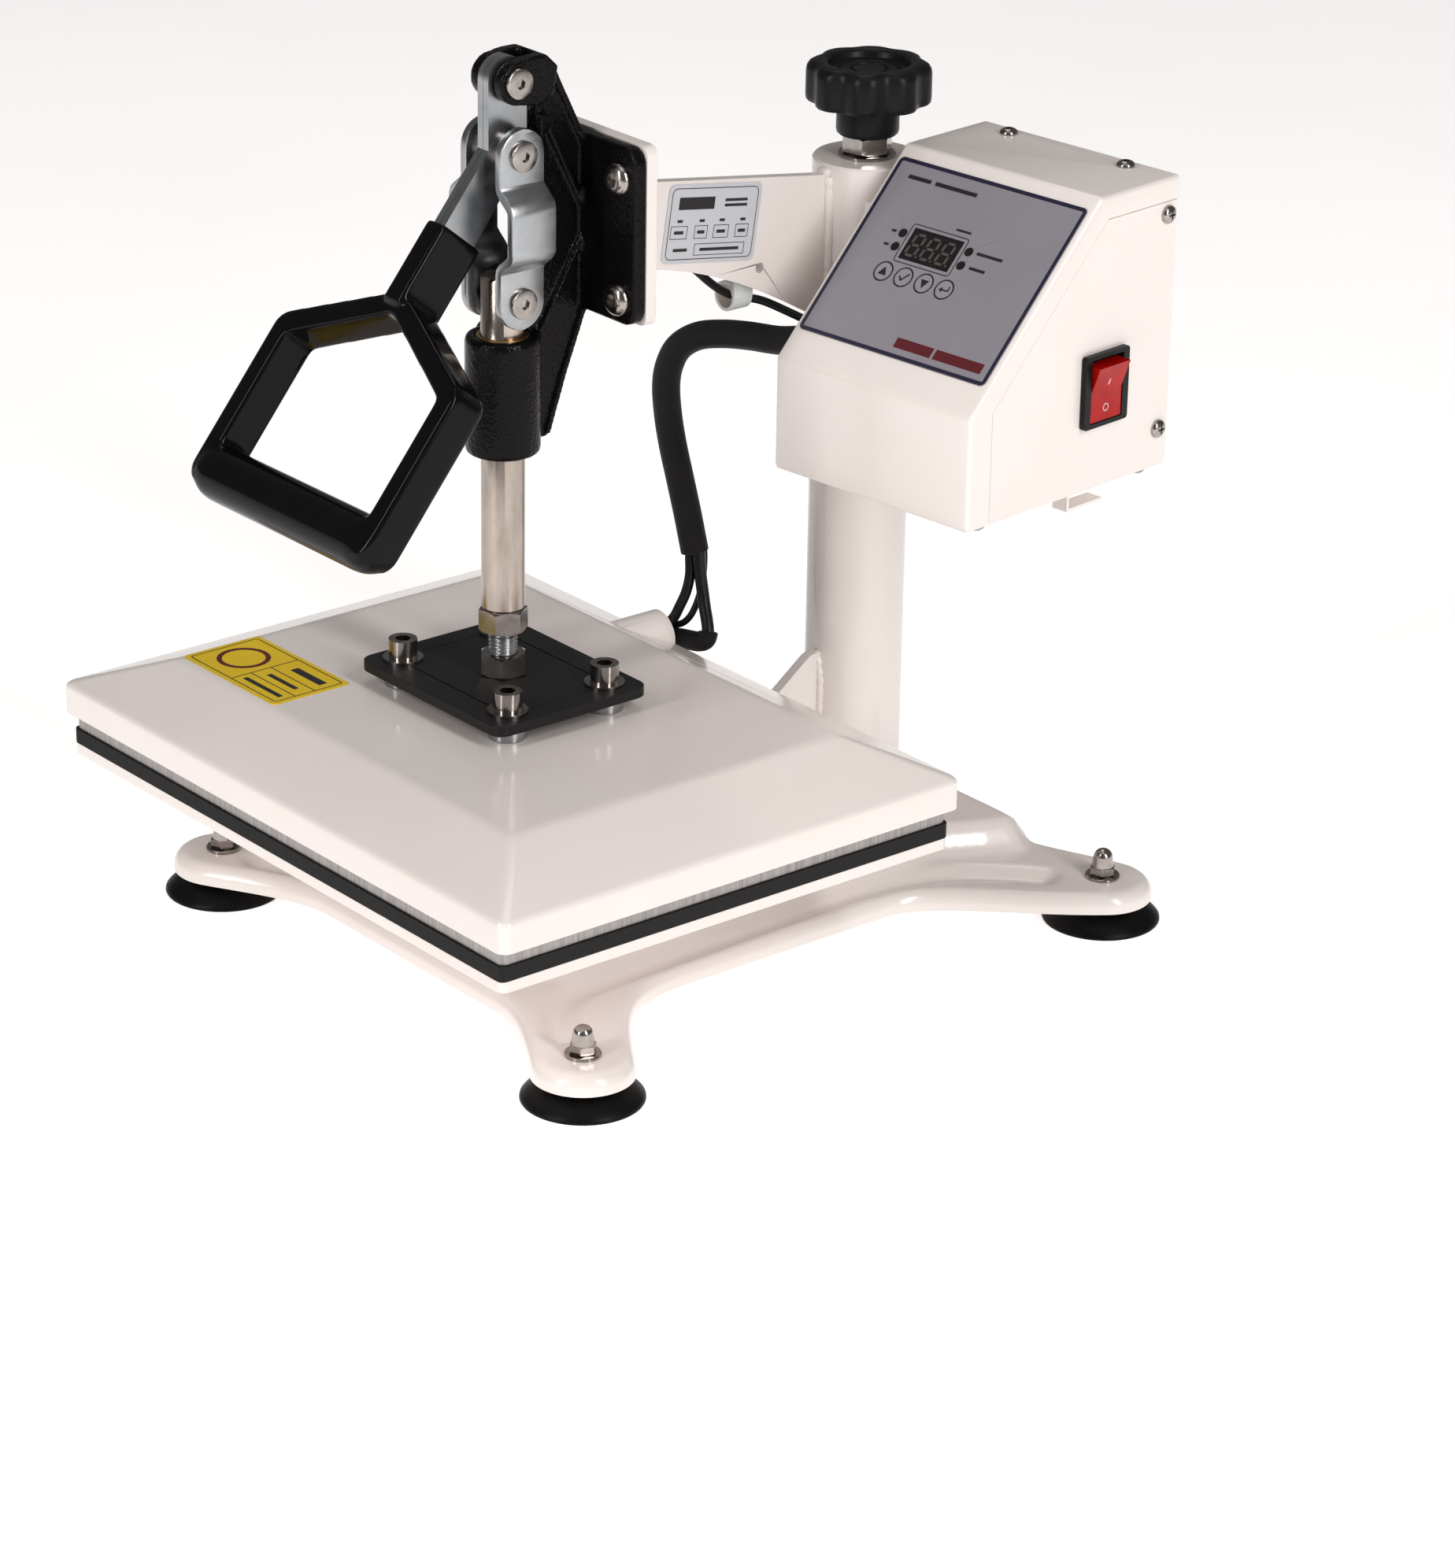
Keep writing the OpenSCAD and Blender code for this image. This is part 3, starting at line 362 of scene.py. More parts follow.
FINISHES = {
    "cream_paint": dict(
        colour=(0.80, 0.745, 0.72), rough=0.2, second=(0.785, 0.728, 0.70), blotch=45, bump=0.012,
        bump_size=1.6, coat=0.2, spread=0.04),
    "black_paint": dict(
        colour=(0.0045, 0.004, 0.004), rough=0.15, second=(0.003, 0.0026, 0.0026), blotch=14, bump=0.4,
        bump_size=1.5, spread=0.05, Specular_IOR_Level=0.11),
    "plate_black": dict(
        colour=(0.011, 0.0105, 0.011), rough=0.5, second=(0.008, 0.0076, 0.008), blotch=20, bump=0.03,
        bump_size=0.5, spread=0.07, Specular_IOR_Level=0.25),
    "zinc": dict(
        colour=(0.45, 0.465, 0.48), rough=0.32, metal=1.0, second=(0.33, 0.345, 0.36), blotch=18, bump=0.02,
        bump_size=1.2, spread=0.12),
    "shaft_nickel": dict(
        colour=(0.48, 0.42, 0.375), rough=0.22, metal=1.0, second=(0.34, 0.29, 0.25), blotch=9, bump=0.02,
        bump_size=0.7, grain=(1, 1, 0.35), spread=0.08),
    "screw_steel": dict(
        colour=(0.41, 0.38, 0.36), rough=0.18, metal=1.0, second=(0.29, 0.265, 0.25), blotch=7, bump=0.012,
        bump_size=0.8, spread=0.08),
    "bronze": dict(
        colour=(0.52, 0.33, 0.12), rough=0.35, metal=1.0, second=(0.40, 0.24, 0.09), blotch=8, bump=0.02,
        bump_size=0.6),
    "platen_aluminium": dict(
        colour=(0.42, 0.405, 0.40), rough=0.42, metal=1.0, second=(0.27, 0.255, 0.25), blotch=1.5, bump=0.05,
        bump_size=0.8, grain=(1, 1, 0.03), spread=0.14),
    "foam_pad": dict(
        colour=(0.007, 0.0065, 0.0065), rough=0.9, second=(0.0025, 0.0025, 0.0025), blotch=1.4, bump=0.25,
        bump_size=0.9, spread=0.06, pattern="voronoi"),
    "foot_rubber": dict(
        colour=(0.004, 0.004, 0.004), rough=0.42, second=(0.0025, 0.0025, 0.0025), blotch=15, bump=0.015,
        bump_size=0.7, spread=0.1, Specular_IOR_Level=0.11),
    "grip_vinyl": dict(
        colour=(0.004, 0.004, 0.0045), rough=0.1, second=(0.003, 0.003, 0.0035), blotch=40, bump=0.03,
        bump_size=9, spread=0.03, Specular_IOR_Level=0.12),
    "knob_plastic": dict(
        colour=(0.009, 0.009, 0.0095), rough=0.36, second=(0.006, 0.006, 0.0065), blotch=12, bump=0.04,
        bump_size=0.7, spread=0.07, Specular_IOR_Level=0.15),
    "nylon": dict(
        colour=(0.74, 0.73, 0.72), rough=0.4, second=(0.68, 0.67, 0.67), blotch=10, bump=0.02, bump_size=0.8,
        Subsurface_Weight=0.15),
    "switch_plastic": dict(
        colour=(0.012, 0.012, 0.0125), rough=0.45, blotch=6, bump=0.03, bump_size=0.5, Specular_IOR_Level=0.3
    ),
    "black_plastic": dict(
        colour=(0.006, 0.006, 0.006), rough=0.36, blotch=8, bump=0.03, bump_size=0.5, spread=0.08,
        Specular_IOR_Level=0.2),
    "label_film": dict(
        colour=(0.56, 0.57, 0.61), rough=0.35, second=(0.54, 0.55, 0.585), blotch=20, bump=0.008,
        bump_size=1.0, spread=0.05),
    "yellow_film": dict(
        colour=(0.80, 0.56, 0.012), rough=0.32, second=(0.76, 0.52, 0.010), blotch=25, bump=0.008,
        bump_size=1.0, spread=0.05),
    "overlay_film": dict(
        colour=(0.245, 0.235, 0.265), rough=0.4, second=(0.23, 0.22, 0.25), blotch=30, bump=0.012,
        bump_size=0.5, spread=0.06),
    "dark_window": dict(
        colour=(0.012, 0.011, 0.012), rough=0.1, blotch=20, bump=0.004, bump_size=3, spread=0.02,
        Specular_IOR_Level=0.35),
    "key_film": dict(colour=(0.27, 0.26, 0.285), rough=0.36, blotch=6, bump=0.01, bump_size=0.6),
    "lamp_red": dict(colour=(0.014, 0.005, 0.005), rough=0.2, blotch=3, bump=0.01, bump_size=0.6, coat=0.4),
    "rocker_red": dict(
        colour=(0.44, 0.003, 0.003), rough=0.14, second=(0.30, 0.002, 0.002), blotch=9, bump=0.01,
        bump_size=2, spread=0.03, Specular_IOR_Level=0.22),
    "board_green": dict(
        colour=(0.02, 0.13, 0.05), rough=0.35, second=(0.015, 0.09, 0.04), blotch=6, bump=0.05, bump_size=1.5
    ),
    "module_grey": dict(
        colour=(0.16, 0.165, 0.17), rough=0.4, metal=0.8, blotch=6, bump=0.03, bump_size=0.9,
        grain=(1, 0.1, 1)),
    "mineral_mat": dict(
        colour=(0.62, 0.50, 0.30), rough=0.95, second=(0.48, 0.38, 0.22), blotch=4, bump=0.5, bump_size=1.6),
    "wire_black": dict(
        colour=(0.006, 0.006, 0.006), rough=0.36, blotch=8, bump=0.02, bump_size=0.9, spread=0.08,
        Specular_IOR_Level=0.25),
}
MATERIALS = {name: material(name, **finish) for name, finish in FINISHES.items()}
MATERIALS["braid"] = braid_material("braid", 1.0)


def ink(name, colour, rough=0.4, blotch=5, bump=0.005):
    return material(name, colour, rough, blotch=blotch, bump=bump, bump_size=0.5)


INK = ink("ink", (0.014, 0.013, 0.014))
NAVY = ink("navy_border", (0.014, 0.013, 0.035), 0.36, 12, 0.006)
SEGMENT = ink("unlit_segment", (0.075, 0.069, 0.062), 0.35, 3, 0.004)
MARK_RED = ink("dark_red_ink", (0.10, 0.008, 0.012), blotch=4)
MARK_WHITE = ink("white_ink", (0.78, 0.72, 0.70), blotch=3)

# ---------- camera, light, floor ----------

CAMERA_AT, LENS = (1.5822, -1.2604, 0.9355), 118.45
AZ, EL, ROLL = math.radians(50.2795), math.radians(23.3778), math.radians(0.9729)
back = Vector((math.sin(AZ) * math.cos(EL), -math.cos(AZ) * math.cos(EL), math.sin(EL)))
right = (-back).cross(Vector((0, 0, 1))).normalized()
up = right.cross(-back)
right, up = right * math.cos(ROLL) + up * math.sin(ROLL), up * math.cos(ROLL) - right * math.sin(ROLL)
cam = new_object("camera", bpy.data.cameras.new("camera"))
cam.matrix_world = Matrix([(right[i], up[i], back[i], CAMERA_AT[i]) for i in range(3)] + [(0, 0, 0, 1)])
cam.data.lens = LENS
cam.data.clip_end = 60
bpy.context.scene.camera = cam
bpy.context.scene.view_settings.view_transform = "Standard"

world = bpy.data.worlds.new("studio")
world.use_nodes = True
world.node_tree.nodes["Background"].inputs["Color"].default_value = (1.0, 0.975, 0.96, 1)
world.node_tree.nodes["Background"].inputs["Strength"].default_value = 0.15
bpy.context.scene.world = world


def softbox(name, azimuth, elevation, distance, width, height, power, colour=(1, 0.97, 0.95)):
    a, e = math.radians(azimuth), math.radians(elevation)
    d = Vector((math.sin(a) * math.cos(e), -math.cos(a) * math.cos(e), math.sin(e)))
    light = bpy.data.lights.new(name, "AREA")
    light.shape, light.size, light.size_y = "RECTANGLE", width, height
    light.energy, light.color = power, colour
    o = new_object(name, light)
    o.location = P(0, 60, 150) + d * distance
    o.rotation_mode = "QUATERNION"
    o.rotation_quaternion = (-d).to_track_quat("-Z", "Y")


softbox("key_right", 92, 28, 2.0, 0.22, 1.5, 23)
softbox("key_left", 4, 26, 2.0, 0.22, 1.5, 20)
softbox("top", 50, 78, 1.9, 1.0, 1.0, 3)
softbox("back", 230, 64, 2.2, 0.8, 0.8, 4)

floor = build("floor", prism(circle(0, 60, 9000, 64), -4, 0))
floor.data.materials.append(
    material(
        "floor", (0.93, 0.92, 0.915), 0.8, blotch=400, spread=0.02, bump=0.02, bump_size=3,
        Emission_Color=(1, 0.985, 0.98, 1), Emission_Strength=0.58))

# ---------- cords ----------


def along(points, n=6):
    """A smooth line through the points."""
    p = [np.array(q, float) for q in points]
    out = []
    for i in range(len(p) - 1):
        a, b, c, d = p[max(i - 1, 0)], p[i], p[i + 1], p[min(i + 2, len(p) - 1)]
        for k in range(n):
            t = k / n
            out.append(
                0.5 * (
                    2 * b + (c - a) * t + (2 * a - 5 * b + 4 * c - d) * t * t + (3 * b - a - 3 * c + d) * t**3
                ))
    return out + [p[-1]]


def tube(name, points, radius, sides=24, place=P, ends=0.6):
    """A tube with rounded ends and its own map; radius may be a function of the way along."""
    p = np.array(points)
    size = radius if callable(radius) else (lambda t: radius)
    heading = np.gradient(p, axis=0)
    heading /= np.linalg.norm(heading, axis=1)[:, None]
    step = np.linalg.norm(np.diff(p, axis=0), axis=1)
    length = np.concatenate([[0], np.cumsum(step)])
    side = np.cross(heading[0], (0.3, 0.9, 0.2))
    rings, rows = [], []
    for i in range(len(p)):
        side = side - heading[i] * (side @ heading[i])
        side /= np.linalg.norm(side)
        other = np.cross(heading[i], side)
        r = size(length[i] / length[-1])
        hoops = [(0, r)]
        if i == 0:
            hoops = [(0, r - ends), (ends * 0.4, r - ends * 0.2), (ends, r)]
        if i == len(p) - 1:
            hoops = [(-ends, r), (-ends * 0.4, r - ends * 0.2), (0, r - ends)]
        for shift, rr in hoops:
            rings.append([
                tuple(p[i] + heading[i] * shift + rr * (math.cos(g) * side + math.sin(g) * other))
                for g in (2 * math.pi * k / sides for k in range(sides))])
            rows.append(length[i] + shift)
    o = build(name, loft(rings), place)
    layer = o.data.uv_layers.new(name="along")
    for poly in o.data.polygons:
        for li in poly.loop_indices:
            v = o.data.loops[li].vertex_index
            k = v % sides
            if poly.loop_total == 4 and k == 0 and any(
                o.data.loops[x].vertex_index % sides == sides - 1 for x in poly.loop_indices
            ):
                k = sides
            layer.data[li].uv = (k / sides * 2 * math.pi * size(0.5), rows[v // sides])
    return shade(o, 50)


sleeve_line = along([
    (30.8, 141, 252), (22, 140, 251), (8, 138.5, 247.6), (-8, 136.5, 245.6), (-22, 133.5, 243.4),
    (-35, 130.5, 239.6), (-44, 127.5, 233), (-48, 125.5, 224.5), (-49, 124.5, 215), (-47, 124, 203),
    (-43.5, 124, 190), (-39.4, 124.8, 176), (-35, 126, 159.6), (-31, 127, 143.4)], 8)
feed_line = along([
    (-28.6, 127, 148), (-27.6, 126.6, 142.2), (-27.2, 127.2, 134), (-26.2, 127.8, 126), (-24.2, 127.4, 119.6),
    (-21.4, 126.4, 114.8), (-19.4, 125.4, 110.4), (-20, 124.6, 106.8), (-23.4, 123.8, 105),
    (-28, 123.2, 104.2), (-33, 123, 103.4), (-37.6, 122.2, 102.6), (-41.2, 119.8, 101.8), (-43, 116, 101.2),
    (-43.2, 112, 101), (-43.2, 108, 101)])
return_line = along([
    (-33.4, 126.4, 148), (-32.8, 125.8, 141.2), (-32.2, 125.4, 133), (-33, 124, 125), (-34.8, 121.8, 118),
    (-36.8, 120.6, 113), (-38.6, 118.6, 110), (-39.6, 115.6, 108.8), (-40, 112, 108.4), (-40, 108, 108.4)])
signal_line = along([
    (-30.4, 130, 148), (-29.6, 131, 142.8), (-29.8, 131, 134), (-30.2, 130, 126), (-30.8, 128, 119),
    (-32, 125.6, 113.6), (-35.6, 124, 109.6), (-40.6, 121.8, 107.8), (-44.6, 117.6, 107.6),
    (-46.6, 112.6, 107.4), (-46.8, 108, 107.4)])

sleeve = tube("harness_braid", sleeve_line, 6.1, 40, ends=0.8)
sleeve.data.materials.append(MATERIALS["braid"])
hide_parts("harness_sleeve")
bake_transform(sleeve)

feed = finish_piece(tube("feed_wire", feed_line, 2.7, 20), "press_head", "wire_black", "harness_wires")
short_braid = tube("feed_braid", feed_line[6 * 6:], 4.4, 28)
finish_piece(short_braid, "press_head", "braid")
for name, line, r in (("return_wire", return_line, 2.3), ("signal_wire", signal_line, 1.5)):
    o = finish_piece(tube(name, line, r, 18), "press_head", "wire_black")

sensor_line = along([
    (29.6, 153.6, 252.6), (20, 151.5, 254.1), (8, 147.5, 257), (-3, 140, 261.5), (-7.5, 133, 263.6),
    (-7.5, 123, 267.2), (-7.5, 114, 273.5), (-7.5, 103, 283), (-7.5, 92, 289.5), (-7.5, 78, 291),
    (-8, 64, 287), (-9, 52, 278), (-13, 38, 275), (-17, 24, 276), (-19.4, 12, 276.4), (-20, 4, 272.6),
    (-19.6, 3, 266), (-19.4, 8, 260)])
finish_piece(tube("sensor_lead", sensor_line, 1.8, 16, ends=0.3), "arm", "wire_black", "sensor_wire")

# ---------- base ----------


def base_outline():
    r, s = FOOT_R, 88
    foot, front, rear = (FOOT_X, FOOT_FRONT), -50, 228
    half = [(0, front), (58, front)]
    half += bezier((58, front), (78, front), (100, -66), arc(*foot, r, -118, -118, 1)[0], 18)
    half += arc(*foot, r, -118, 56, 36)
    half += bezier(arc(*foot, r, 56, 56, 1)[0], (112, -20), (s, -6), (s, 24), 24)
    half += [(s, 24), (s, 138)]
    end = (FOOT_X, FOOT_REAR)
    half += bezier((s, 138), (s, 160), (124, 186), arc(*end, r, -35, -35, 1)[0], 24)
    half += arc(*end, r, -35, 111, 32)
    half += bezier(arc(*end, r, 111, 111, 1)[0], (96, 239), (80, rear), (58, rear), 18)
    half += [(58, rear), (0, rear)]
    return half + [(-x, y) for x, y in half[-2:0:-1]]


def respaced(points, step):
    p = np.array(points + [points[0]], float)
    d = np.concatenate([[0], np.cumsum(np.linalg.norm(np.diff(p, axis=0), axis=1))])
    t = np.linspace(0, d[-1], int(d[-1] / step) + 1)[:-1]
    return np.stack([np.interp(t, d, p[:, 0]), np.interp(t, d, p[:, 1])], 1)


def inside_by(points, outline):
    """Distance of each point to a closed outline, positive inside it."""
    a = np.asarray(outline, float)
    best, inside = np.full(len(points), 1e9), np.zeros(len(points), bool)
    for s, t in zip(a, np.roll(a, -1, 0)):
        d, w = t - s, points - s
        k = np.clip(w @ d / max(d @ d, 1e-12), 0, 1)
        best = np.minimum(best, np.hypot(*(w - k[:, None] * d).T))
        inside ^= ((s[1] > points[:, 1]) != (t[1] > points[:, 1])) & (
            points[:, 0] < s[0] + (points[:, 1] - s[1]) * d[0] / (d[1] or 1e-12))
    return np.where(inside, best, -best)


def to_line(points, line):
    best = np.full(len(points), 1e9)
    for s, t in zip(line[:-1], line[1:]):
        s, t = np.array(s, float), np.array(t, float)
        d, w = t - s, points - s
        k = np.clip(w @ d / (d @ d), 0, 1)
        best = np.minimum(best, np.hypot(*(w - k[:, None] * d).T))
    return best


def ease(t):
    t = np.clip(t, 0, 1)
    return t * t * (3 - 2 * t)


LEG_Z, DECK_Z, SKIRT_Z = 19.0, 31.0, 10.5
DECK = [
    (-52, -40), (52, -40), (72, -20), (72, 182), (82, 202), (89, 219), (78, 233), (-78, 233), (-89, 219),
    (-82, 202), (-72, 182), (-72, -20)]
CHANNEL = [
    (q[0], q[1])
    for q in along([
        (107, -50, 0), (93, -42, 0), (83, -31, 0), (78, -14, 0), (76, 29, 0), (74, 95, 0), (74, 140, 0),
        (83, 176, 0), (98, 196, 0), (110, 207, 0)], 5)]


def pressed(points):
    """Height of the pressed base's top: a raised deck and a channel along each side."""
    folded = np.abs(points) * (1, 0) + points * (0, 1)
    deck = ease(inside_by(points, DECK) / 13)
    seat = 1 - ease((np.hypot(points[:, 0], points[:, 1] - COLUMN_Y) - 25) / 10)
    channel = 1 - ease(to_line(folded, CHANNEL) / 10.5)
    return LEG_Z + (DECK_Z - LEG_Z) * np.maximum(deck, seat) - 4.6 * channel * (1 - seat)


def pressed_base():
    outline = respaced(base_outline(), 2.2)
    tangent = np.roll(outline, -1, 0) - np.roll(outline, 1, 0)
    normal = np.stack([-tangent[:, 1], tangent[:, 0]], 1) / np.linalg.norm(tangent, axis=1)[:, None]
    if np.mean(inside_by(outline + normal, outline)) < 0:
        normal = -normal
    r = 6.0
    rings = [[(x, y, SKIRT_Z) for x, y in outline]]
    for turn in range(0, 91, 15):
        inset = r * (1 - cosd(turn))
        q = outline + normal * inset
        rings.append([(x, y, h - r + r * sind(turn)) for (x, y), h in zip(q, pressed(q))])
    verts, faces = loft(rings, caps=False)
    edge = outline + normal * r
    gx, gy = np.meshgrid(np.arange(-150, 150.1, 2.1), np.arange(-80, 252, 2.1))
    grid = np.stack([gx.ravel(), gy.ravel()], 1)
    grid = grid[inside_by(grid, edge) > 1.1]
    flat = np.concatenate([edge, grid])
    n = len(edge)
    out, _, tris, *_ = delaunay_2d_cdt(
        [Vector(p) for p in flat], [(i, (i + 1) % n) for i in range(n)], [], 1, 1e-4)
    out = np.array([tuple(p) for p in out])
    base = len(verts)
    verts += [(x, y, h) for (x, y), h in zip(out, pressed(out))]
    faces += [tuple(i + base for i in t) for t in tris]
    o = build("pressed_base", (verts, faces))
    bm = bmesh.new()
    bm.from_mesh(o.data)
    bmesh.ops.remove_doubles(bm, verts=bm.verts, dist=0.00003)
    bmesh.ops.recalc_face_normals(bm, faces=bm.faces)
    if sum(f.normal.z * f.calc_area() for f in bm.faces) < 0:
        bmesh.ops.reverse_faces(bm, faces=bm.faces)
    bm.to_mesh(o.data)
    bm.free()
    m = o.modifiers.new("sheet", "SOLIDIFY")
    m.thickness, m.offset = 0.0024, -1
    return finish_piece(shade(bake(o), 50), "base", "cream_paint", "base_frame")


pressed_base()

FEET = [(sx * FOOT_X, y) for sx in (-1, 1) for y in (FOOT_FRONT, FOOT_REAR)]
cup = [
    (3, 3), (7, 2.6), (14, 1.6), (21, 0.5), (25.2, 0), (25.5, 0.5), (25.4, 1.4), (24.6, 2.4), (22.4, 4.3),
    (19.4, 6.4), (16.2, 8.1), (13.2, 9.4), (11, 10.2), (10.2, 11), (10, 12.2), (10, 16.4), (3, 16.4)]
finish_piece(
    shade(build("suction_cups", merged(*[lathe(cup, 80, x, y) for x, y in FEET]))), "base", "foot_rubber",
    "suction_feet")


def hex_body(name, flats, z0, z1, cx=0, cy=0, turn=0.0):
    """A hexagon whose corners are chamfered by a cone, as on a turned nut."""
    r = flats / math.sqrt(3)
    o = build(name, prism(hexagon(r, turn, cx, cy), z0, z1))
    c = flats / 2 - 0.35
    slant = (r + 1 - c) * 0.55
    cone = build(
        name + "_cone", lathe([(c, z0), (r + 1, z0 + slant), (r + 1, z1 - slant), (c, z1)], 72, cx, cy))
    return carve(o, cone, how="INTERSECT")


def joined(name, *objects):
    out = new_object(name, bpy.data.meshes.new(name))
    bm = bmesh.new()
    for o in objects:
        bm.from_mesh(o.data)
        bpy.data.objects.remove(o)
    bm.to_mesh(out.data)
    bm.free()
    return out


acorns = []
for i, (x, y) in enumerate(FEET):
    dome = [(3, 25.2)] + [(4.75 - 0.55 * k / 4, 24.2 + 1.0 * k) for k in range(5)] + [
        (4.2 * cosd(a), 28.3 + 3.9 * sind(a)) for a in (12, 26, 40, 54, 68, 80, 87)]
    turned = {
        "dome": (dome, 40),
        "washer": ([(3, 19), (7.3, 19), (7.5, 19.3), (7.5, 20.1), (7.2, 20.4), (3, 20.4)], 48),
        "stud": ([(2.9, 3), (2.9, 20)], 24),
    }
    acorns.append(hex_body(f"acorn_hex_{i}", 10, 20.4, 24.4, x, y, turn=12))
    for part, (profile, sides) in turned.items():
        acorns.append(build(f"acorn_{part}_{i}", lathe(profile, sides, x, y)))
finish_piece(shade(joined("acorn_nuts", *acorns), 26), "base", "screw_steel", "foot_nuts")

tube_outer = hollow([
    (18.8, 31), (24.3, 31), (24.3, 33.4), (23.7, 34), (21.3, 34), (21.3, 213.2), (20.6, 214), (18.8, 214),
    (18.8, 31)], 96)
finish_piece(shade(build("column_shell", tube_outer, column)), "base", "cream_paint", "column_tube")


def bead(name, points, radius, body, seed=0, slot="cream_paint", n=10):
    """A weld bead: an uneven tube along a seam."""
    line = along(points, n)
    lumps = [
        radius * (1 + 0.22 * noise.noise(Vector((seed * 3.1, i * 0.55, 0.3))) + 0.1 * math.sin(i * 1.9))
        for i in range(len(line))]
    o = tube(name, line, lambda t: lumps[min(len(lumps) - 1, int(t * (len(lumps) - 1) + 0.5))], 14, ends=0.5)
    return finish_piece(o, body, slot)


for seed, (tag, x) in enumerate((("right", 2.4), ("left", -2.4)), 1):
    seam = [(x, 86, 32), (x, 120, 32.2), (x, 150, 32), (x, 166, 32.6)]
    bead(f"weld_gusset_{tag}", seam, 1.6, "base", seed, n=16)
bead(
    "weld_column_right", [(2.5, 171.2, 36), (2.5, 171, 60), (2.5, 171, 85), (0, 170.4, 97.2)], 1.9, "base", 3,
    n=16)
bead(
    "weld_column_left", [(-2.5, 171.2, 36), (-2.5, 171, 60), (-2.5, 171, 85), (-0.6, 170.6, 96.6)], 1.9,
    "base", 4, n=16)
ring = [
    (21.6 * math.cos(a), COLUMN_Y + 21.6 * math.sin(a), 34.4)
    for a in (math.radians(k) for k in range(-76, 257, 12))]
bead("weld_column_foot", ring, 1.7, "base", 5, n=6)

# ---------- swing arm ----------

finish_piece(
    shade(
        build(
            "arm_tube",
            hollow([
                (6.4, 311), (20, 311), (20.05, 215.5), (22.4, 215.5), (23, 216.1), (23, 316.2), (22.2, 317),
                (6.9, 317), (6.4, 316.5), (6.4, 311)], 96), column)), "arm", "cream_paint", "arm_sleeve")
for side in (-1, 1):
    tag = "right" if side > 0 else "left"
    bead(
        f"weld_arm_{tag}",
        [
            (side * 3.2, 169.0, 247), (side * 3.4, 169.2, 270), (side * 3.2, 169.2, 295),
            (side * 2.6, 169, 312)], 2.0, "arm", 6 + side, n=14)
    bead(
        f"weld_flange_{tag}", [(side * 2.9, 47.4, 292), (side * 3.0, 47.6, 310), (side * 2.8, 47.5, 329)],
        1.5, "arm", 9 + side, n=12)
bead("weld_arm_top", [(-3, 169.4, 312.6), (0, 168.6, 313.6), (3, 169.4, 312.6)], 2.0, "arm", 12, n=5)
bead(
    "weld_bracket", [(32.4, 170, 226), (32.4, 172, 250), (32.4, 176, 275), (32.2, 180, 303)], 1.4, "arm", 14,
    n=12)

for node, width in (("arm_plate", 1.1), ("box_bracket", 0.5)):
    soften(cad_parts[node], width, 3)


def melted(name, shape, voxel, passes, place, body, slot, *nodes, holes=()):
    """Overlapping solids run together into one skin with soft edges, as a casting or a dipped part."""
    o = build(name, shape, lambda x, y, z: Vector((x, y, z)) / 1000)
    m = o.modifiers.new("skin", "REMESH")
    m.mode, m.voxel_size, m.adaptivity = "VOXEL", voxel / 1000, 0
    s = o.modifiers.new("smooth", "SMOOTH")
    s.factor, s.iterations = 0.5, passes
    bpy.context.view_layer.update()
    bake(o)
    for v in o.data.vertices:
        v.co = place(*(v.co * 1000))
    if (place(1, 0, 0) - place(0, 0, 0)).cross(place(0, 1, 0) - place(0, 0, 0)).dot(
        place(0, 0, 1) - place(0, 0, 0)
    ) < 0:
        o.data.flip_normals()
    if holes:
        carve(o, *holes)
    return finish_piece(shade(o, 60), body, slot, *nodes)


def strip(a, b, half_width, x0, x1):
    """A bar between two points of the Y-Z plane, across x0 to x1."""
    a, b = np.array(a, float), np.array(b, float)
    d = (b - a) / np.linalg.norm(b - a)
    n = np.array((-d[1], d[0])) * half_width
    return prism([tuple(p) for p in (a - n, b - n, b + n, a + n)], x0, x1, "yzx")


web = [
    (6, 229), (19.7, 229), (27, 253), (37, 278), (37, 352), (23, 385), (17, 390), (13.5, 389.6), (13, 300),
    (8, 275), (6, 275)]
ears = arc(0.8, UPPER - 0.4, 9, 100, 270, 17) + [(12, 371), (18, 375), (20, 386), (14, 391.6), (7, 391.6)]
casting = [
    prism(web, -4.2, 4.2, "yzx"),
    prism([(x, z + 318) for x, z in rounded(79, 74, 7)], 36, 42, "xzy"),
    prism(ears, 5, 10.5, "yzx"),
    prism(ears, -10.5, -5, "yzx"),
    prism([(12.4, 371.4), (14, 372.4), (18, 375), (20, 386), (14, 391.6), (12.4, 391.6)], -10.5, 10.5, "yzx"),
]
for side in (-1, 1):
    x0, x1 = sorted((side * 3, side * 6.2))
    for a, b in (
        ((19, 387), (37, 351)), ((16, 366), (37, 324)), ((11, 268), (37, 312)), ((18.6, 231), (26.4, 254)),
        ((26.4, 254), (37, 281)), ((15, 302), (15.5, 366))
    ):
        casting.append(strip(a, b, 1.3, x0, x1))
barrel = [
    (11, 226), (14.1, 226), (15.2, 227), (15.5, 228.5), (15.5, 273.4), (15.1, 275), (14, 276), (11, 276),
    (11, 226)]
casting.append(hollow(barrel, 64))
casting = merged(*casting)
cutters = [
    build("cut_bore", rod(11.02, (0, 0), 224, 278, n=64)),
    build("cut_pin", rod(5.02, (0, UPPER), -14, 14, "yzx"))]
cutters.append(build("cut_relief", rod(9.4, (0, 0), 276, 290)))
cutters += [
    build(f"cut_bolt_{sx}_{z}", rod(4.02, (sx * BOLT_X, z), 34, 44, "xzy", 32)) for sx in (-1, 1)
    for z in BOLT_Z]
melted("toggle_casting", casting, 0.85, 4, P, "arm", "black_paint", "toggle_bracket", holes=cutters)


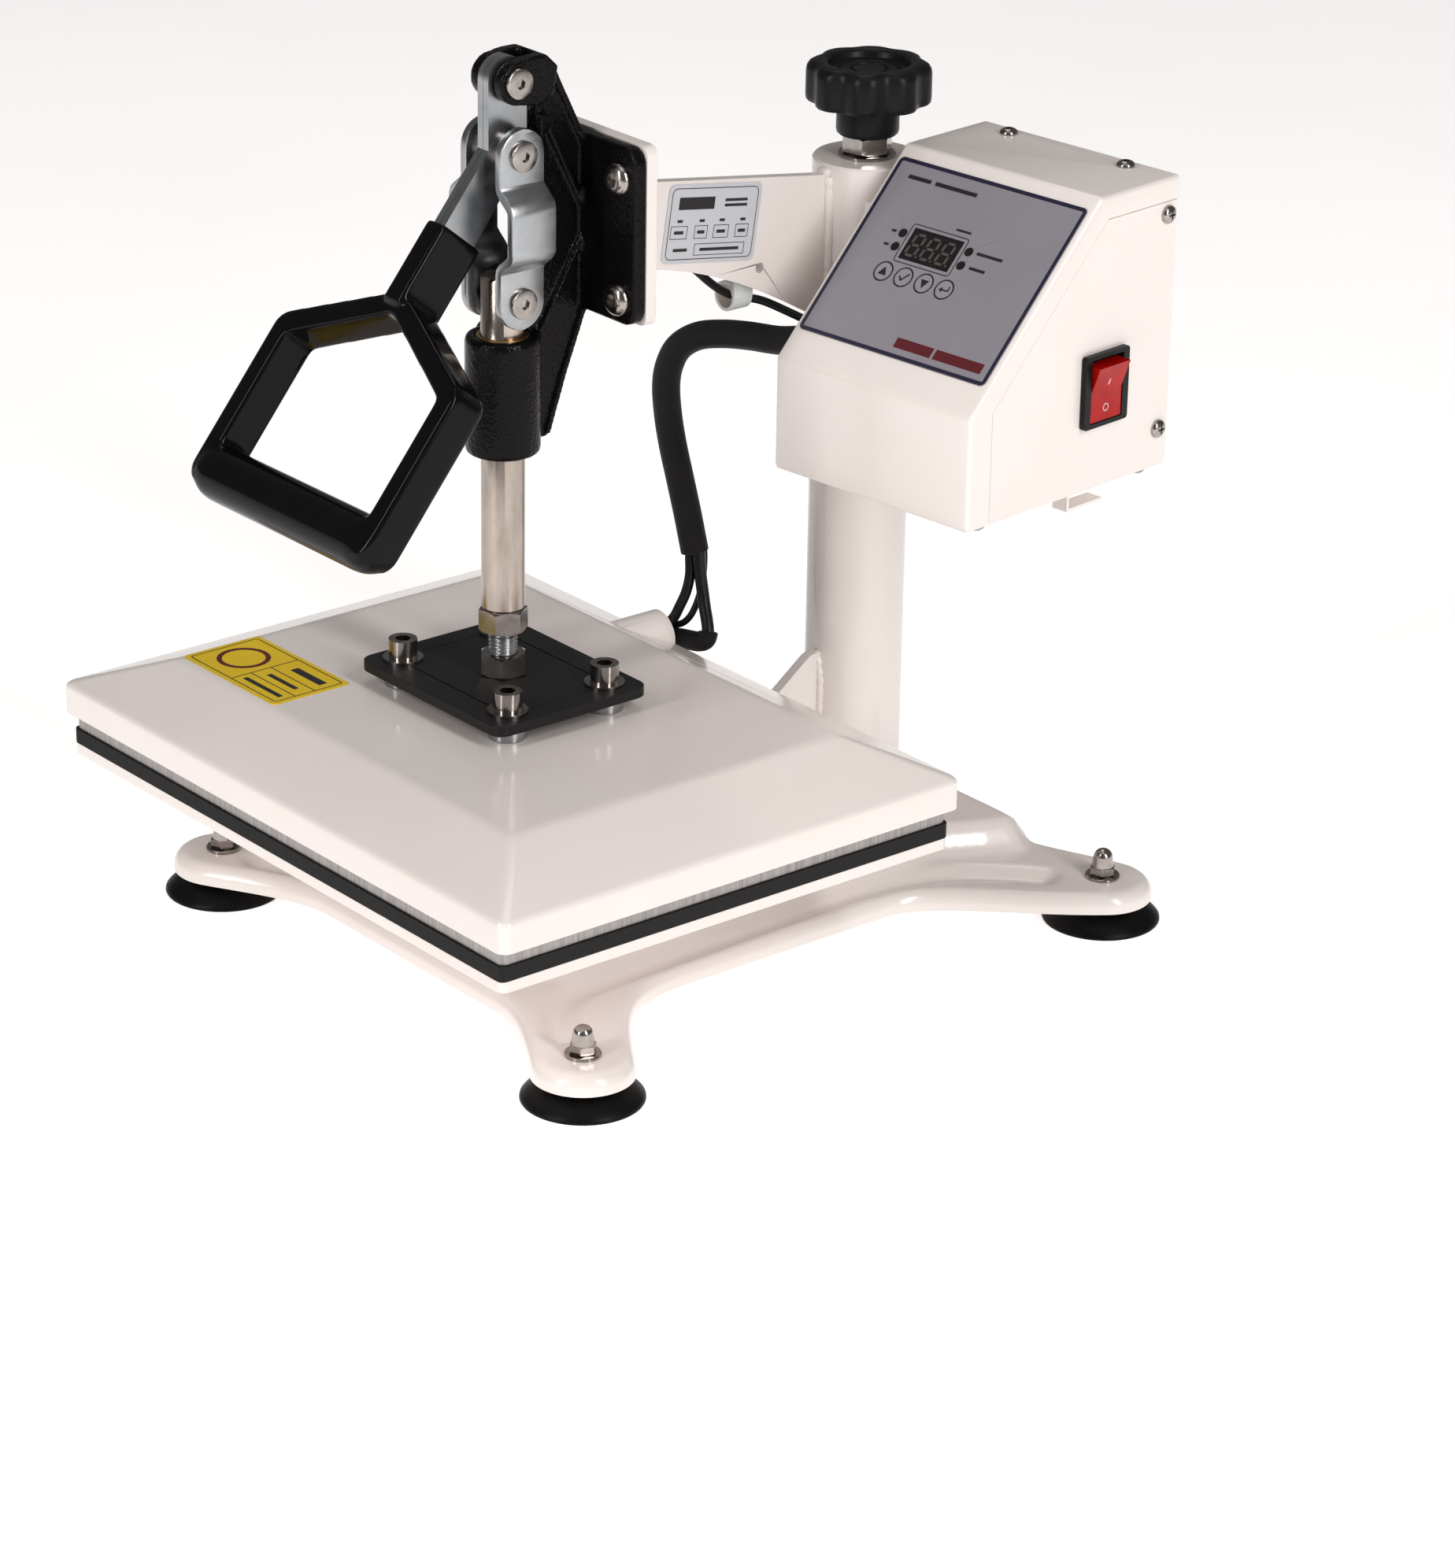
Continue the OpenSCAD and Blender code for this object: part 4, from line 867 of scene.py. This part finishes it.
def button_head(name, r, h, socket, place, deep=2.0, shank=(), flat=False):
    """A screw head with a hexagon socket, built standing on z = 0."""
    if flat:
        profile = [(0.2, 0), (r, 0), (r, h - 0.5), (r - 0.15, h - 0.15), (r - 0.5, h), (0.2, h)]
    else:
        profile = [(0.2, 0), (r, 0), (r, 0.5)] + [
            (r * 0.99 * cosd(a) ** 0.72, 0.5 + (h - 0.5) * sind(a)) for a in (8, 18, 28, 38, 48, 58)
        ] + [(0.2, 0.5 + (h - 0.5) * sind(58))]
    o = build(name, lathe(profile, 56), place)
    c = socket / math.sqrt(3)
    top = profile[-1][1]
    carve(o, build(name + "_socket", prism(hexagon(c, 14), top - deep, top + 1), place))
    if shank:
        o = joined(
            name, o, build(name + "_shank", lathe([(shank[0], -shank[1]), (shank[0], 0.1)], 32), place))
    return o


bolts = [
    button_head(
        f"bolt_{sx}_{z}", 7, 4.2, 5, lambda x, y, h, sx=sx, z=z: P(sx * BOLT_X + x, 36 - h, z + y), 2.2,
        (3.98, 11)) for sx in (-1, 1) for z in BOLT_Z]
finish_piece(shade(joined("flange_bolts", *bolts), 30), "arm", "screw_steel", "bracket_bolts")


def pin(name, z, half, r=5.0, head=12.5):
    heads = [
        button_head(
            f"{name}_{s}", 6.3, 1.8, 4, lambda x, y, h, s=s: P(s * (head + h), s * x, z + y), 1.2, flat=True)
        for s in (-1, 1)]
    return heads + ([build(name + "_bar", rod(r, (0, z), -half, half, "yzx"))] if half else [])


finish_piece(
    shade(joined("upper_pin", *pin("upper", UPPER, 10.5, head=10.5)), 30), "arm", "screw_steel",
    "upper_pivot_bolt")
spacers = [
    build(
        f"spacer_{s}", hollow([(5, 3.5), (8, 3.5), (8, 9.2), (5, 9.2), (5, 3.5)], 48), lambda x, y, h,
        s=s: P(s * h, x, MIDDLE + y)) for s in (-1, 1)]
finish_piece(
    shade(joined("middle_pin", *pin("middle", MIDDLE, 13.4, head=13.4), *spacers), 30), "handle",
    "screw_steel", "middle_pivot_bolt")
stubs = [build(f"stub_{s}", rod(5, (0, LOWER), *sorted((s * 9.4, s * 13.5)), "yzx")) for s in (-1, 1)]
finish_piece(
    shade(joined("lower_pins", *pin("lower", LOWER, 0, head=13.4), *stubs), 30), "links", "screw_steel",
    "lower_pivot_pins")

# ---------- toggle links ----------


def link_shape(side):
    """A strap joggled outwards in its middle with round eyes; soft bends."""
    t, half, low, high = 4.0, 11.0, LOWER, MIDDLE
    zs = sorted(
        set(
            [low - half * cosd(a) for a in range(0, 90, 9)] + list(np.arange(low, high + 0.1, 1.6))
            + [high + half * cosd(a) for a in range(0, 90, 9)]))

    def offset(z):
        return 8 * float(ease((z - low - 13.5) / 9) * ease((high - 12 - z) / 9))

    rings = []
    for z in zs:
        gone = max(low - z, z - high, 0)
        w = math.sqrt(max(half * half - gone * gone, 0.05))
        slope = (offset(z + 0.05) - offset(z - 0.05)) / 0.1
        n = np.array((1, -slope)) / math.hypot(1, slope)
        c = 9.4 + t / 2 + offset(z)
        e = min(0.7, w * 0.4)
        section = [
            (t / 2 - e, -w), (t / 2 - e * 0.3, -w + e * 0.3), (t / 2, -w + e), (t / 2, 0), (t / 2, w - e),
            (t / 2 - e * 0.3, w - e * 0.3), (t / 2 - e, w), (0, w), (-t / 2 + e, w),
            (-t / 2 + e * 0.3, w - e * 0.3), (-t / 2, w - e), (-t / 2, 0), (-t / 2, -w + e),
            (-t / 2 + e * 0.3, -w + e * 0.3), (-t / 2 + e, -w), (0, -w)]
        rings.append([(side * (c + q * n[0]), y, z + q * n[1]) for q, y in section])
    return loft(rings)


straps = []
for side in (-1, 1):
    o = build(f"strap_{side}", link_shape(side))
    straps.append(
        carve(
            o, build("eye_a", rod(5.05, (0, LOWER), *sorted((side * 8, side * 16)), "yzx")),
            build("eye_b", rod(5.05, (0, MIDDLE), *sorted((side * 8, side * 16)), "yzx"))))
finish_piece(shade(joined("link_straps", *straps), 38), "links", "zinc", "side_links")
soften(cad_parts["handle_bars"], 0.5, 2)

# ---------- handle ----------


def grip_parts():
    """Sleeve over the bars, two cranked side straps and a round crossbar with rounded ends."""
    inner, outer, bar = 51.0, 61.0, 11.5
    side = [(1.5, 78.5), (-1, 78.5), (-1, 70), (6, 70)] + arc(outer - 9, 101, 9, -62, 0, 10) + arc(
        outer - 10, 163, 10, 0, 60, 8) + [(inner, 168), (inner, 102)]
    parts = [prism([(-5.5, 37.5), (5.5, 37.5), (5.5, 74), (-5.5, 74)], -12, 12)]
    ends = [(0.5, -61)] + [(bar * sind(a) ** 0.7, -50 - 11 * cosd(a)) for a in range(15, 91, 15)]
    parts.append(lathe(ends + [(r, -h) for r, h in ends[::-1]], 64))
    parts[-1] = ([(h, 164 + x, y) for x, y, h in parts[-1][0]], parts[-1][1])
    for s in (1, -1):
        parts.append(prism([(s * x, y) for x, y in side], -9, 9))
    return merged(*parts)


melted("dipped_grip", grip_parts(), 0.9, 34, grip, "handle", "grip_vinyl", "handle_grip")

# ---------- knob and nuts ----------



def wave(a):
    """Eight lobes round the knob."""
    return 1 - 2 * abs(math.sin(4 * a)) ** 3


hub = [(2, 327), (12.2, 326.6), (13.1, 327.4), (13.4, 328.8), (13.3, 336), (12.9, 338.8), (13.6, 340)]
lobes = [
    (22.6, 340, 0.8), (24.4, 340.3, 1.2), (25.1, 341.2, 1.3), (25.3, 343, 1.3), (25.25, 353.4, 1.3),
    (24.9, 355.2, 1.3), (24.0, 356.8, 1.1), (22.6, 357.7, 0.8), (20.6, 358, 0.3), (18.8, 357.9),
    (17.6, 357.3), (17, 356.4), (17, 355), (16.6, 354.5), (13.4, 354.4), (12.9, 353.7), (12.2, 353.7),
    (11.7, 354.4), (8.2, 354.5), (7.8, 353.8), (7.2, 353.8), (6.8, 354.5), (3, 354.6), (0.3, 354.6)]
finish_piece(
    shade(build("star_grip", lathe(hub + lobes, 192, wave=wave), column), 40), "knob", "knob_plastic",
    "star_knob")


def nut(name, flats, z0, z1, bore, cy, body, node, turn, extra=()):
    o = hex_body(name + "_hex", flats, z0, z1, 0, cy, turn=turn)
    carve(o, build(name + "_bore", rod(bore, (0, cy), z0 - 1, z1 + 1)))
    finish_piece(shade(joined(name, o, *extra), 24), body, "screw_steel", node)


washer = build(
    "knob_washer_disc",
    hollow([
        (5.95, 317), (12, 317), (12.2, 317.3), (12.2, 318.3), (11.9, 318.6), (5.95, 318.6), (5.95, 317)], 64),
    column)
nut("jam_nut", 19, 318.6, 326.6, 5.95, COLUMN_Y, "knob", "knob_nut", 8, (washer,))
nut("upper_nut", 18, 148, 158, 6, 0, "press_head", "shaft_nut", 5)
nut("lower_nut", 18, 129, 138, 6, 0, "press_head", "plate_nut", 22)


def thread(r, z0, z1, pitch=1.75, depth=0.95, n=40, cy=0.0):
    steps = 8
    rows = int((z1 - z0) / pitch * steps)
    rings = []
    for i in range(rows + 1):
        z = z0 + (z1 - z0) * i / rows
        ring = []
        for k in range(n):
            a = 2 * math.pi * k / n
            phase = ((z - z0) / pitch - k / n) % 1
            edge = min(1.0, (z - z0) / 0.8, (z1 - z) / 0.8)
            rr = r - depth * (1 - abs(2 * phase - 1)) * 1.0 - (1 - edge) * 0.8
            ring.append((rr * math.cos(a), cy + rr * math.sin(a), z))
        rings.append(ring)
    return loft(rings)


finish_piece(shade(build("stud_thread", thread(6, 124.5, 177)), 60), "press_head", "zinc", "threaded_stud")
finish_piece(
    shade(build("screw_thread", thread(5.95, 274, 352, cy=COLUMN_Y)), 60), "knob", "zinc", "pressure_screw")

shaft = [(6, 158), (8.2, 158), (9, 158.8), (9, 299.8), (8, 301), (0.3, 301), (0.3, 178), (6, 178)]
spindle = build("spindle", hollow(shaft + [(6, 158)]))
carve(spindle, build("cut_spindle", rod(5.05, (0, LOWER), -12, 12, "yzx")))
finish_piece(shade(spindle, 40), "press_head", "shaft_nickel", "press_shaft")

# ---------- heated platen ----------


def fold(a, b, c, steps):
    """A soft bend from a to c that leans towards b."""
    a, b, c = np.array(a), np.array(b), np.array(c)
    return [tuple((1 - t) ** 2 * a + 2 * t * (1 - t) * b + t * t * c) for t in steps]


def cover_rings(inset):
    """Rounded frustum with soft folds, as a pressed cover."""
    levels = [(0, 90.1), (0, 98)]
    levels += fold((0, 101), (0, 102.9), (2.2, 103.76), (0, 0.2, 0.4, 0.6, 0.8, 1))
    levels.append((18, 109.96))
    levels += fold((36, 117.02), (39, COVER_Z), (43, COVER_Z), (0, 0.17, 0.34, 0.5, 0.66, 0.83, 1))
    rings = []
    for i, (dx, z) in enumerate(levels):
        w, d = COVER_W - 2 * dx - 2 * inset, COVER_D - 2 * dx * 33.5 / 39 - 2 * inset
        low = -1 if inset and i == 0 else 0
        rings.append([
            (x, y, z + low - (inset if i else 0)) for x,
            y in rounded(w, d, max(4.8 - dx * 0.03 - inset, 2.6), 8)])
    return rings


outer = build("cover_press", loft(cover_rings(0)))
hood = build("hood_out", rod(11, HOOD, 93, 117.5, "xzy", 64))
carve(outer, hood, how="UNION")
holes = [build(f"cover_hole_{i}", rod(3.4, at, 112, 120, n=24)) for i, at in enumerate(PLATE_SCREWS)]
carve(
    outer, build("cover_inner", loft(cover_rings(1.5))),
    build("hood_in", rod(9.5, HOOD, 94.5, 119, "xzy", 64)), *holes)
finish_piece(shade(outer, 34), "press_head", "cream_paint", "platen_cover")

EDGES = {
    (1.2, 3): "platen_support",
    (1.0, 3): "lower_platen",
    (0.5, 2): "silicone_pad inner_post standoffs insulation_mat harness_gland",
    (0.6, 2): "heat_plate mains_gland",
    (0.9, 2): "column_gusset",
    (0.4, 2): "post_insert guide_bush cable_clip",
    (0.3, 2): "swivel_bush box_rear_cover",
    (0.9, 3): "spreader_plate",
    (0.45, 3): "plate_screws",
    (0.7, 3): "position_switch",
    (0.35, 2): "box_bottom_plate",
    (0.2, 2): "control_board",
    (0.25, 2): "power_module",
    (0.15, 2): "display_window",
    (0.3, 3): "indicator_leds",
    (0.5, 3): "rocker_bezel",
    (0.6, 3): "rocker",
    (0.2, 3): "key_up key_ok key_down key_enter",
    (0.08, 1): "panel_overlay",
    (0.1, 1): "rating_label cover_label",
}
for (width, segments), names in EDGES.items():
    for node in names.split():
        soften(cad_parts[node], width, segments)

# ---------- controller box ----------


def box_prism(inset, u0, u1, extra=0.0):
    k = inset * math.tan(SLOPE / 2)
    low = BOX_Z - (1 if extra else 0)
    side = [
        (inset, low), (inset, PANEL_Z - k),
        (PANEL_RUN + inset * math.tan((math.pi / 2 - SLOPE) / 2), BOX_TOP - inset),
        (BOX_D + extra, BOX_TOP - inset), (BOX_D + extra, low)]
    return prism(side, u0, u1, "yzx")


shell = build("shell", box_prism(0, 0, BOX_W), B)
bm = bmesh.new()
bm.from_mesh(shell.data)
keep = []
for e in bm.edges:
    mid = (e.verts[0].co + e.verts[1].co) / 2
    low = mid.z < BOX_Z / 1000 + 1e-5
    rear = (mid - B(0, BOX_D, 0)).dot((B(0, 1, 0) - B(0, 0, 0)).normalized()) > -1e-5
    if not low and not rear:
        keep.append(e)
bmesh.ops.bevel(bm, geom=keep, offset=0.0017, segments=4, profile=0.5, affect="EDGES", clamp_overlap=True)
bm.to_mesh(shell.data)
bm.free()
cuts = [build("cut_inner", box_prism(1.5, 1.5, BOX_W - 1.5, 1.0), B)]
flap = [(13.5, BOX_Z - 1), (13.5, 251.3), (80, 318.6), (BOX_D + 1, 318.6), (BOX_D + 1, BOX_Z - 1)]
seam = [(13.5, BOX_Z - 1), (13.5, 251.3), (80, 318.6), (BOX_D + 1, 318.6)]
for i, (a, b) in enumerate(zip(seam[:-1], seam[1:])):
    groove = strip(a, b, 0.35, BOX_W - 1.2, BOX_W + 1)
    cuts.append(build(f"cut_seam_{i}", groove, B))
cuts += [
    build("cut_flap_r", prism(flap, BOX_W - 0.45, BOX_W + 1, "yzx"), B),
    build("cut_flap_l", prism(flap, -1, 0.45, "yzx"), B)]
cuts.append(build("cut_window", prism([(30, 57), (57.3, 57), (57.3, 72), (30, 72)], -4, 4), panel))
cuts += [build(f"cut_led_{i}", rod(1.5, c, -4, 4, n=24), panel) for i, c in enumerate(LAMPS)]
cuts += [build(f"cut_key_{i}", rod(4.4, (u, KEY_ROW), -4, 4), panel) for i, u in enumerate(KEYS)]
cuts.append(build("cut_rocker", prism([(70, 233), (92, 233), (92, 261), (70, 261)], -4, 4), wall))
cuts.append(build("cut_gland", rod(8, (25, 252), -2, 4, "yzx"), B))
cuts.append(build("cut_lead", rod(1.9, (38, 252.6), -2, 4, "yzx", 24), B))
for u in TOP_SCREWS:
    cuts.append(build(f"cut_top_{u}", rod(1.9, (u, 117), BOX_TOP - 4, BOX_TOP + 1, n=24), B))
for z in SIDE_SCREWS:
    cuts.append(build(f"cut_side_{z}", rod(1.9, (SIDE_SCREW_V, z), -1, BOX_W + 1, "yzx", 24), B))
carve(shell, *cuts)
finish_piece(shade(shell, 28), "arm", "cream_paint", "box_shell")


def cross_head(name, place):
    """A pan head with a cross recess, standing on z = 0, with a short shank."""
    profile = [(0.2, 0), (3.8, 0), (3.95, 0.35), (3.85, 1.0), (3.5, 1.6), (2.8, 2.15), (1.8, 2.5), (0.2, 2.6)]
    o = build(name, lathe(profile, 40), place)
    arms = [
        build(f"{name}_{k}", prism([(-w, -h), (w, -h), (w, h), (-w, h)], 1.3, 4), place) for k,
        (w, h) in enumerate(((0.42, 1.9), (1.9, 0.42)))]
    carve(o, *arms)
    return joined(name, o, build(name + "_shank", lathe([(1.85, -4), (1.85, 0.1)], 20), place))


heads = [cross_head(f"top_{u}", lambda x, y, h, u=u: B(u + x, 117 + y, BOX_TOP + h)) for u in TOP_SCREWS]
for z in SIDE_SCREWS:
    heads.append(cross_head(f"right_{z}", lambda x, y, h, z=z: B(BOX_W - 0.45 + h, SIDE_SCREW_V + x, z + y)))
    heads.append(cross_head(f"left_{z}", lambda x, y, h, z=z: B(0.45 - h, SIDE_SCREW_V - x, z + y)))
for u in (12, BOX_W - 6):
    for v in (12, BOX_D - 12):
        heads.append(cross_head(f"low_{u}_{v}", lambda x, y, h, u=u, v=v: B(u + x, v - y, BOX_Z - 1.3 - h)))
finish_piece(shade(joined("casing_screws", *heads), 32), "arm", "screw_steel", "box_screws")

# ---------- printed marks ----------


def stroke(points, width, closed=False):
    """A line of even width as flat quads, in the plane."""
    pts = list(points) + ([points[0]] if closed else [])
    out = []
    for a, b in zip(pts[:-1], pts[1:]):
        a, b = np.array(a, float), np.array(b, float)
        d = (b - a) / max(np.linalg.norm(b - a), 1e-9)
        n = np.array((-d[1], d[0])) * width / 2
        a, b = a - d * width * 0.2, b + d * width * 0.2
        out.append([tuple(a - n), tuple(b - n), tuple(b + n), tuple(a + n)])
    return out


def printed(name, polygons, place, low, high, body, ink, slot=None):
    o = build(name, merged(*[prism(p, low, high) for p in polygons]), place)
    return finish_piece(o, body, slot, material=ink)


def frame_of(cx, cy, w, d, r, width):
    """A rounded border as a ring of quads."""
    a, b = shifted(rounded(w, d, r, 5), cx, cy), shifted(
        rounded(w - 2 * width, d - 2 * width, max(r - width, 0.2), 5), cx, cy)
    return [[a[i], a[(i + 1) % len(a)], b[(i + 1) % len(a)], b[i]] for i in range(len(a))]


printed(
    "panel_border", frame_of(54.1, 57.75, 102.6, 86.1, 2.3, 1.7), panel, FILM - 0.05, FILM + 0.06, "arm",
    NAVY, "overlay_film")
lines = frame_of(43.8, 64.4, 31, 18.6, 1.6, 0.4)
for c in LAMPS:
    lines += stroke(circle(*c, 1.85, 24), 0.5, True)
for u in KEYS:
    lines += stroke(circle(u, KEY_ROW, 4.5, 40), 0.5, True)
for x0, x1, y, h in (
    (12, 24.5, 93, 1.8), (27, 50, 93, 1.8), (66.2, 80, 68.6, 1.3), (66.6, 75, 61.6, 1.3), (50, 58, 76.2, 1.0),
    (19.4, 22, 68, 1.1), (19.4, 22, 61.4, 1.1)
):
    lines.append([(x0, y - h / 2), (x1, y - h / 2), (x1, y + h / 2), (x0, y + h / 2)])
printed("panel_lines", lines, panel, FILM - 0.05, FILM + 0.08, "arm", INK)
printed(
    "panel_red_bars", [rectangle(x, 21.5, w, 4.6) for x, w in ((63, 20), (87.4, 26))], panel, FILM - 0.05,
    FILM + 0.08, "arm", MARK_RED)


def seven_segments(cx, cy, w=5.0, h=10.0, lean=0.12):
    t = 0.6
    x, y = w / 2, h / 2
    bars = [
        ((-x, y), (x, y)), ((-x, 0), (x, 0)), ((-x, -y), (x, -y)), ((-x, y), (-x, 0)), ((-x, 0), (-x, -y)),
        ((x, y), (x, 0)), ((x, 0), (x, -y))]
    out = []
    for a, b in bars:
        a, b = np.array(a), np.array(b)
        d = (b - a) / np.linalg.norm(b - a)
        n = np.array((-d[1], d[0]))
        a, b = a + d * 0.45, b - d * 0.45
        out.append([
            tuple(q)
            for q in (a, a + d * t - n * t, b - d * t - n * t, b, b - d * t + n * t, a + d * t + n * t)])
    out.append([(x + 1.0, -y - 0.4), (x + 1.9, -y - 0.4), (x + 1.9, -y + 0.5), (x + 1.0, -y + 0.5)])
    return [[(cx + p + q * lean, cy + q) for p, q in poly] for poly in out]


digits = [p for cx in (35, 43.2, 51.4) for p in seven_segments(cx, 64.4)]
printed("display_segments", digits, panel, 0.36, 0.46, "arm", SEGMENT)

KEY_TOP = 0.55
icons = {
    "up": ("up_button", KEYS[0], [[(-2.2, -1.6), (2.2, -1.6), (0, 2.4)]]),
    "ok": ("ok_button", KEYS[1], stroke([(-2.1, 0.1), (-0.6, -1.6), (2.3, 2.0)], 0.75)),
    "down": ("down_button", KEYS[2], [[(-2.2, 1.6), (0, -2.4), (2.2, 1.6)]]),
    "enter": (
        "enter_button", KEYS[3], stroke([(2.2, 1.8), (2.2, -0.3), (-1.4, -0.3)], 0.65)
        + [[(-2.6, -0.3), (-0.9, -1.6), (-0.9, 1.0)]]),
}
for name, (body, u, polys) in icons.items():
    printed(
        f"{name}_icon", [shifted(p, u, KEY_ROW) for p in polys], panel, KEY_TOP - 0.05, KEY_TOP + 0.05, body,
        INK)


def label(p, q, h):
    c, s = cosd(8.5), sind(8.5)
    return P(2.5 + h, 106 + p * c + q * s, 303.5 - p * s + q * c)


marks = frame_of(0, 0, 46.4, 30.2, 2.6, 0.35)
for x, w in ((-17.4, 9), (-5.6, 7), (5.2, 8.2), (16.4, 7)):
    marks += frame_of(x, -3.6, w, 5.6, 0.2, 0.28)
    marks.append(shifted([(-1.4, -0.6), (1.4, -0.6), (1.4, 0.6), (-1.4, 0.6)], x, 1.2))
    marks.append(shifted([(-w * 0.28, -0.7), (w * 0.28, -0.7), (w * 0.28, 0.7), (-w * 0.28, 0.7)], x, -3.6))
marks += frame_of(5.4, -11, 27, 5, 0.2, 0.28)
marks += [
    rectangle(x, y, w, h) for x, y, w,
    h in (
        (-15.6, -11, 7.5, 1.3), (5.4, -11, 21, 1.3), (-9.5, 8.6, 19, 5.2), (11.6, 9.6, 12, 1.2),
        (11.6, 7.4, 12, 1.2))]
printed("label_marks", marks, label, 0.35, 0.46, "arm", INK)


def sticker(p, q, h):
    return P(-82 + p, -62.5 + q, COVER_Z + h)


marks = frame_of(0, 0, 63, 34.4, 1.6, 0.5) + stroke([(-1, 17), (-1, -17)], 0.5) + stroke([
    (-1, 3), (31, 3)], 0.5) + stroke([(-1, -7), (31, -7)], 0.5)
marks += [rectangle(x, y, w, h) for x, y, w, h in ((17, 9.8, 21, 4), (15, -2, 20, 2.4), (15, -12, 26, 2.4))]
printed("sticker_lines", marks, sticker, 0.25, 0.36, "press_head", INK)
printed("sticker_ring", frame_of(-16.5, 0, 23, 23, 11.5, 2.2), sticker, 0.25, 0.36, "press_head", MARK_RED)


def rocker_face(a, t, h):
    """On the rocker's face: a across it, t up from its middle, h out of it."""
    lean = math.radians(10)
    s = 1 if t >= 0 else -1
    x = t * math.cos(lean) - h * math.sin(lean) * s
    y = 4.2 + t * math.sin(lean) * s + h * math.cos(lean)
    x, y = x * math.cos(lean) - y * math.sin(lean), x * math.sin(lean) + y * math.cos(lean)
    return wall(81 + a, 247 + x, -2 + y)


printed("rocker_on", stroke([(0, 3.0), (0, 5.6)], 0.5), rocker_face, -0.05, 0.05, "power_switch", MARK_WHITE)
printed(
    "rocker_off", stroke(circle(0, -7.4, 1.5, 28), 0.45, True), rocker_face, -0.05, 0.05, "power_switch",
    MARK_WHITE)

# ---------- materials of the CAD pieces that are shown ----------

SLOTS = {
    "cream_paint": "platen_support lower_platen column_gusset arm_plate box_bracket "
    "box_rear_cover box_bottom_plate",
    "foam_pad": "silicone_pad",
    "platen_aluminium": "heat_plate",
    "plate_black": "spreader_plate",
    "zinc": "inner_post handle_bars standoffs",
    "screw_steel": "plate_screws",
    "bronze": "post_insert swivel_bush guide_bush",
    "switch_plastic": "position_switch",
    "nylon": "cable_clip",
    "black_plastic": "mains_gland harness_gland rocker_bezel",
    "board_green": "control_board",
    "module_grey": "power_module",
    "mineral_mat": "insulation_mat",
    "overlay_film": "panel_overlay",
    "dark_window": "display_window",
    "key_film": "key_up key_ok key_down key_enter",
    "lamp_red": "indicator_leds",
    "rocker_red": "rocker",
    "label_film": "rating_label",
    "yellow_film": "cover_label",
}
for slot, names in SLOTS.items():
    for name in names.split():
        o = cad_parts[name]
        o.data.materials.clear()
        o.data.materials.append(MATERIALS[slot])
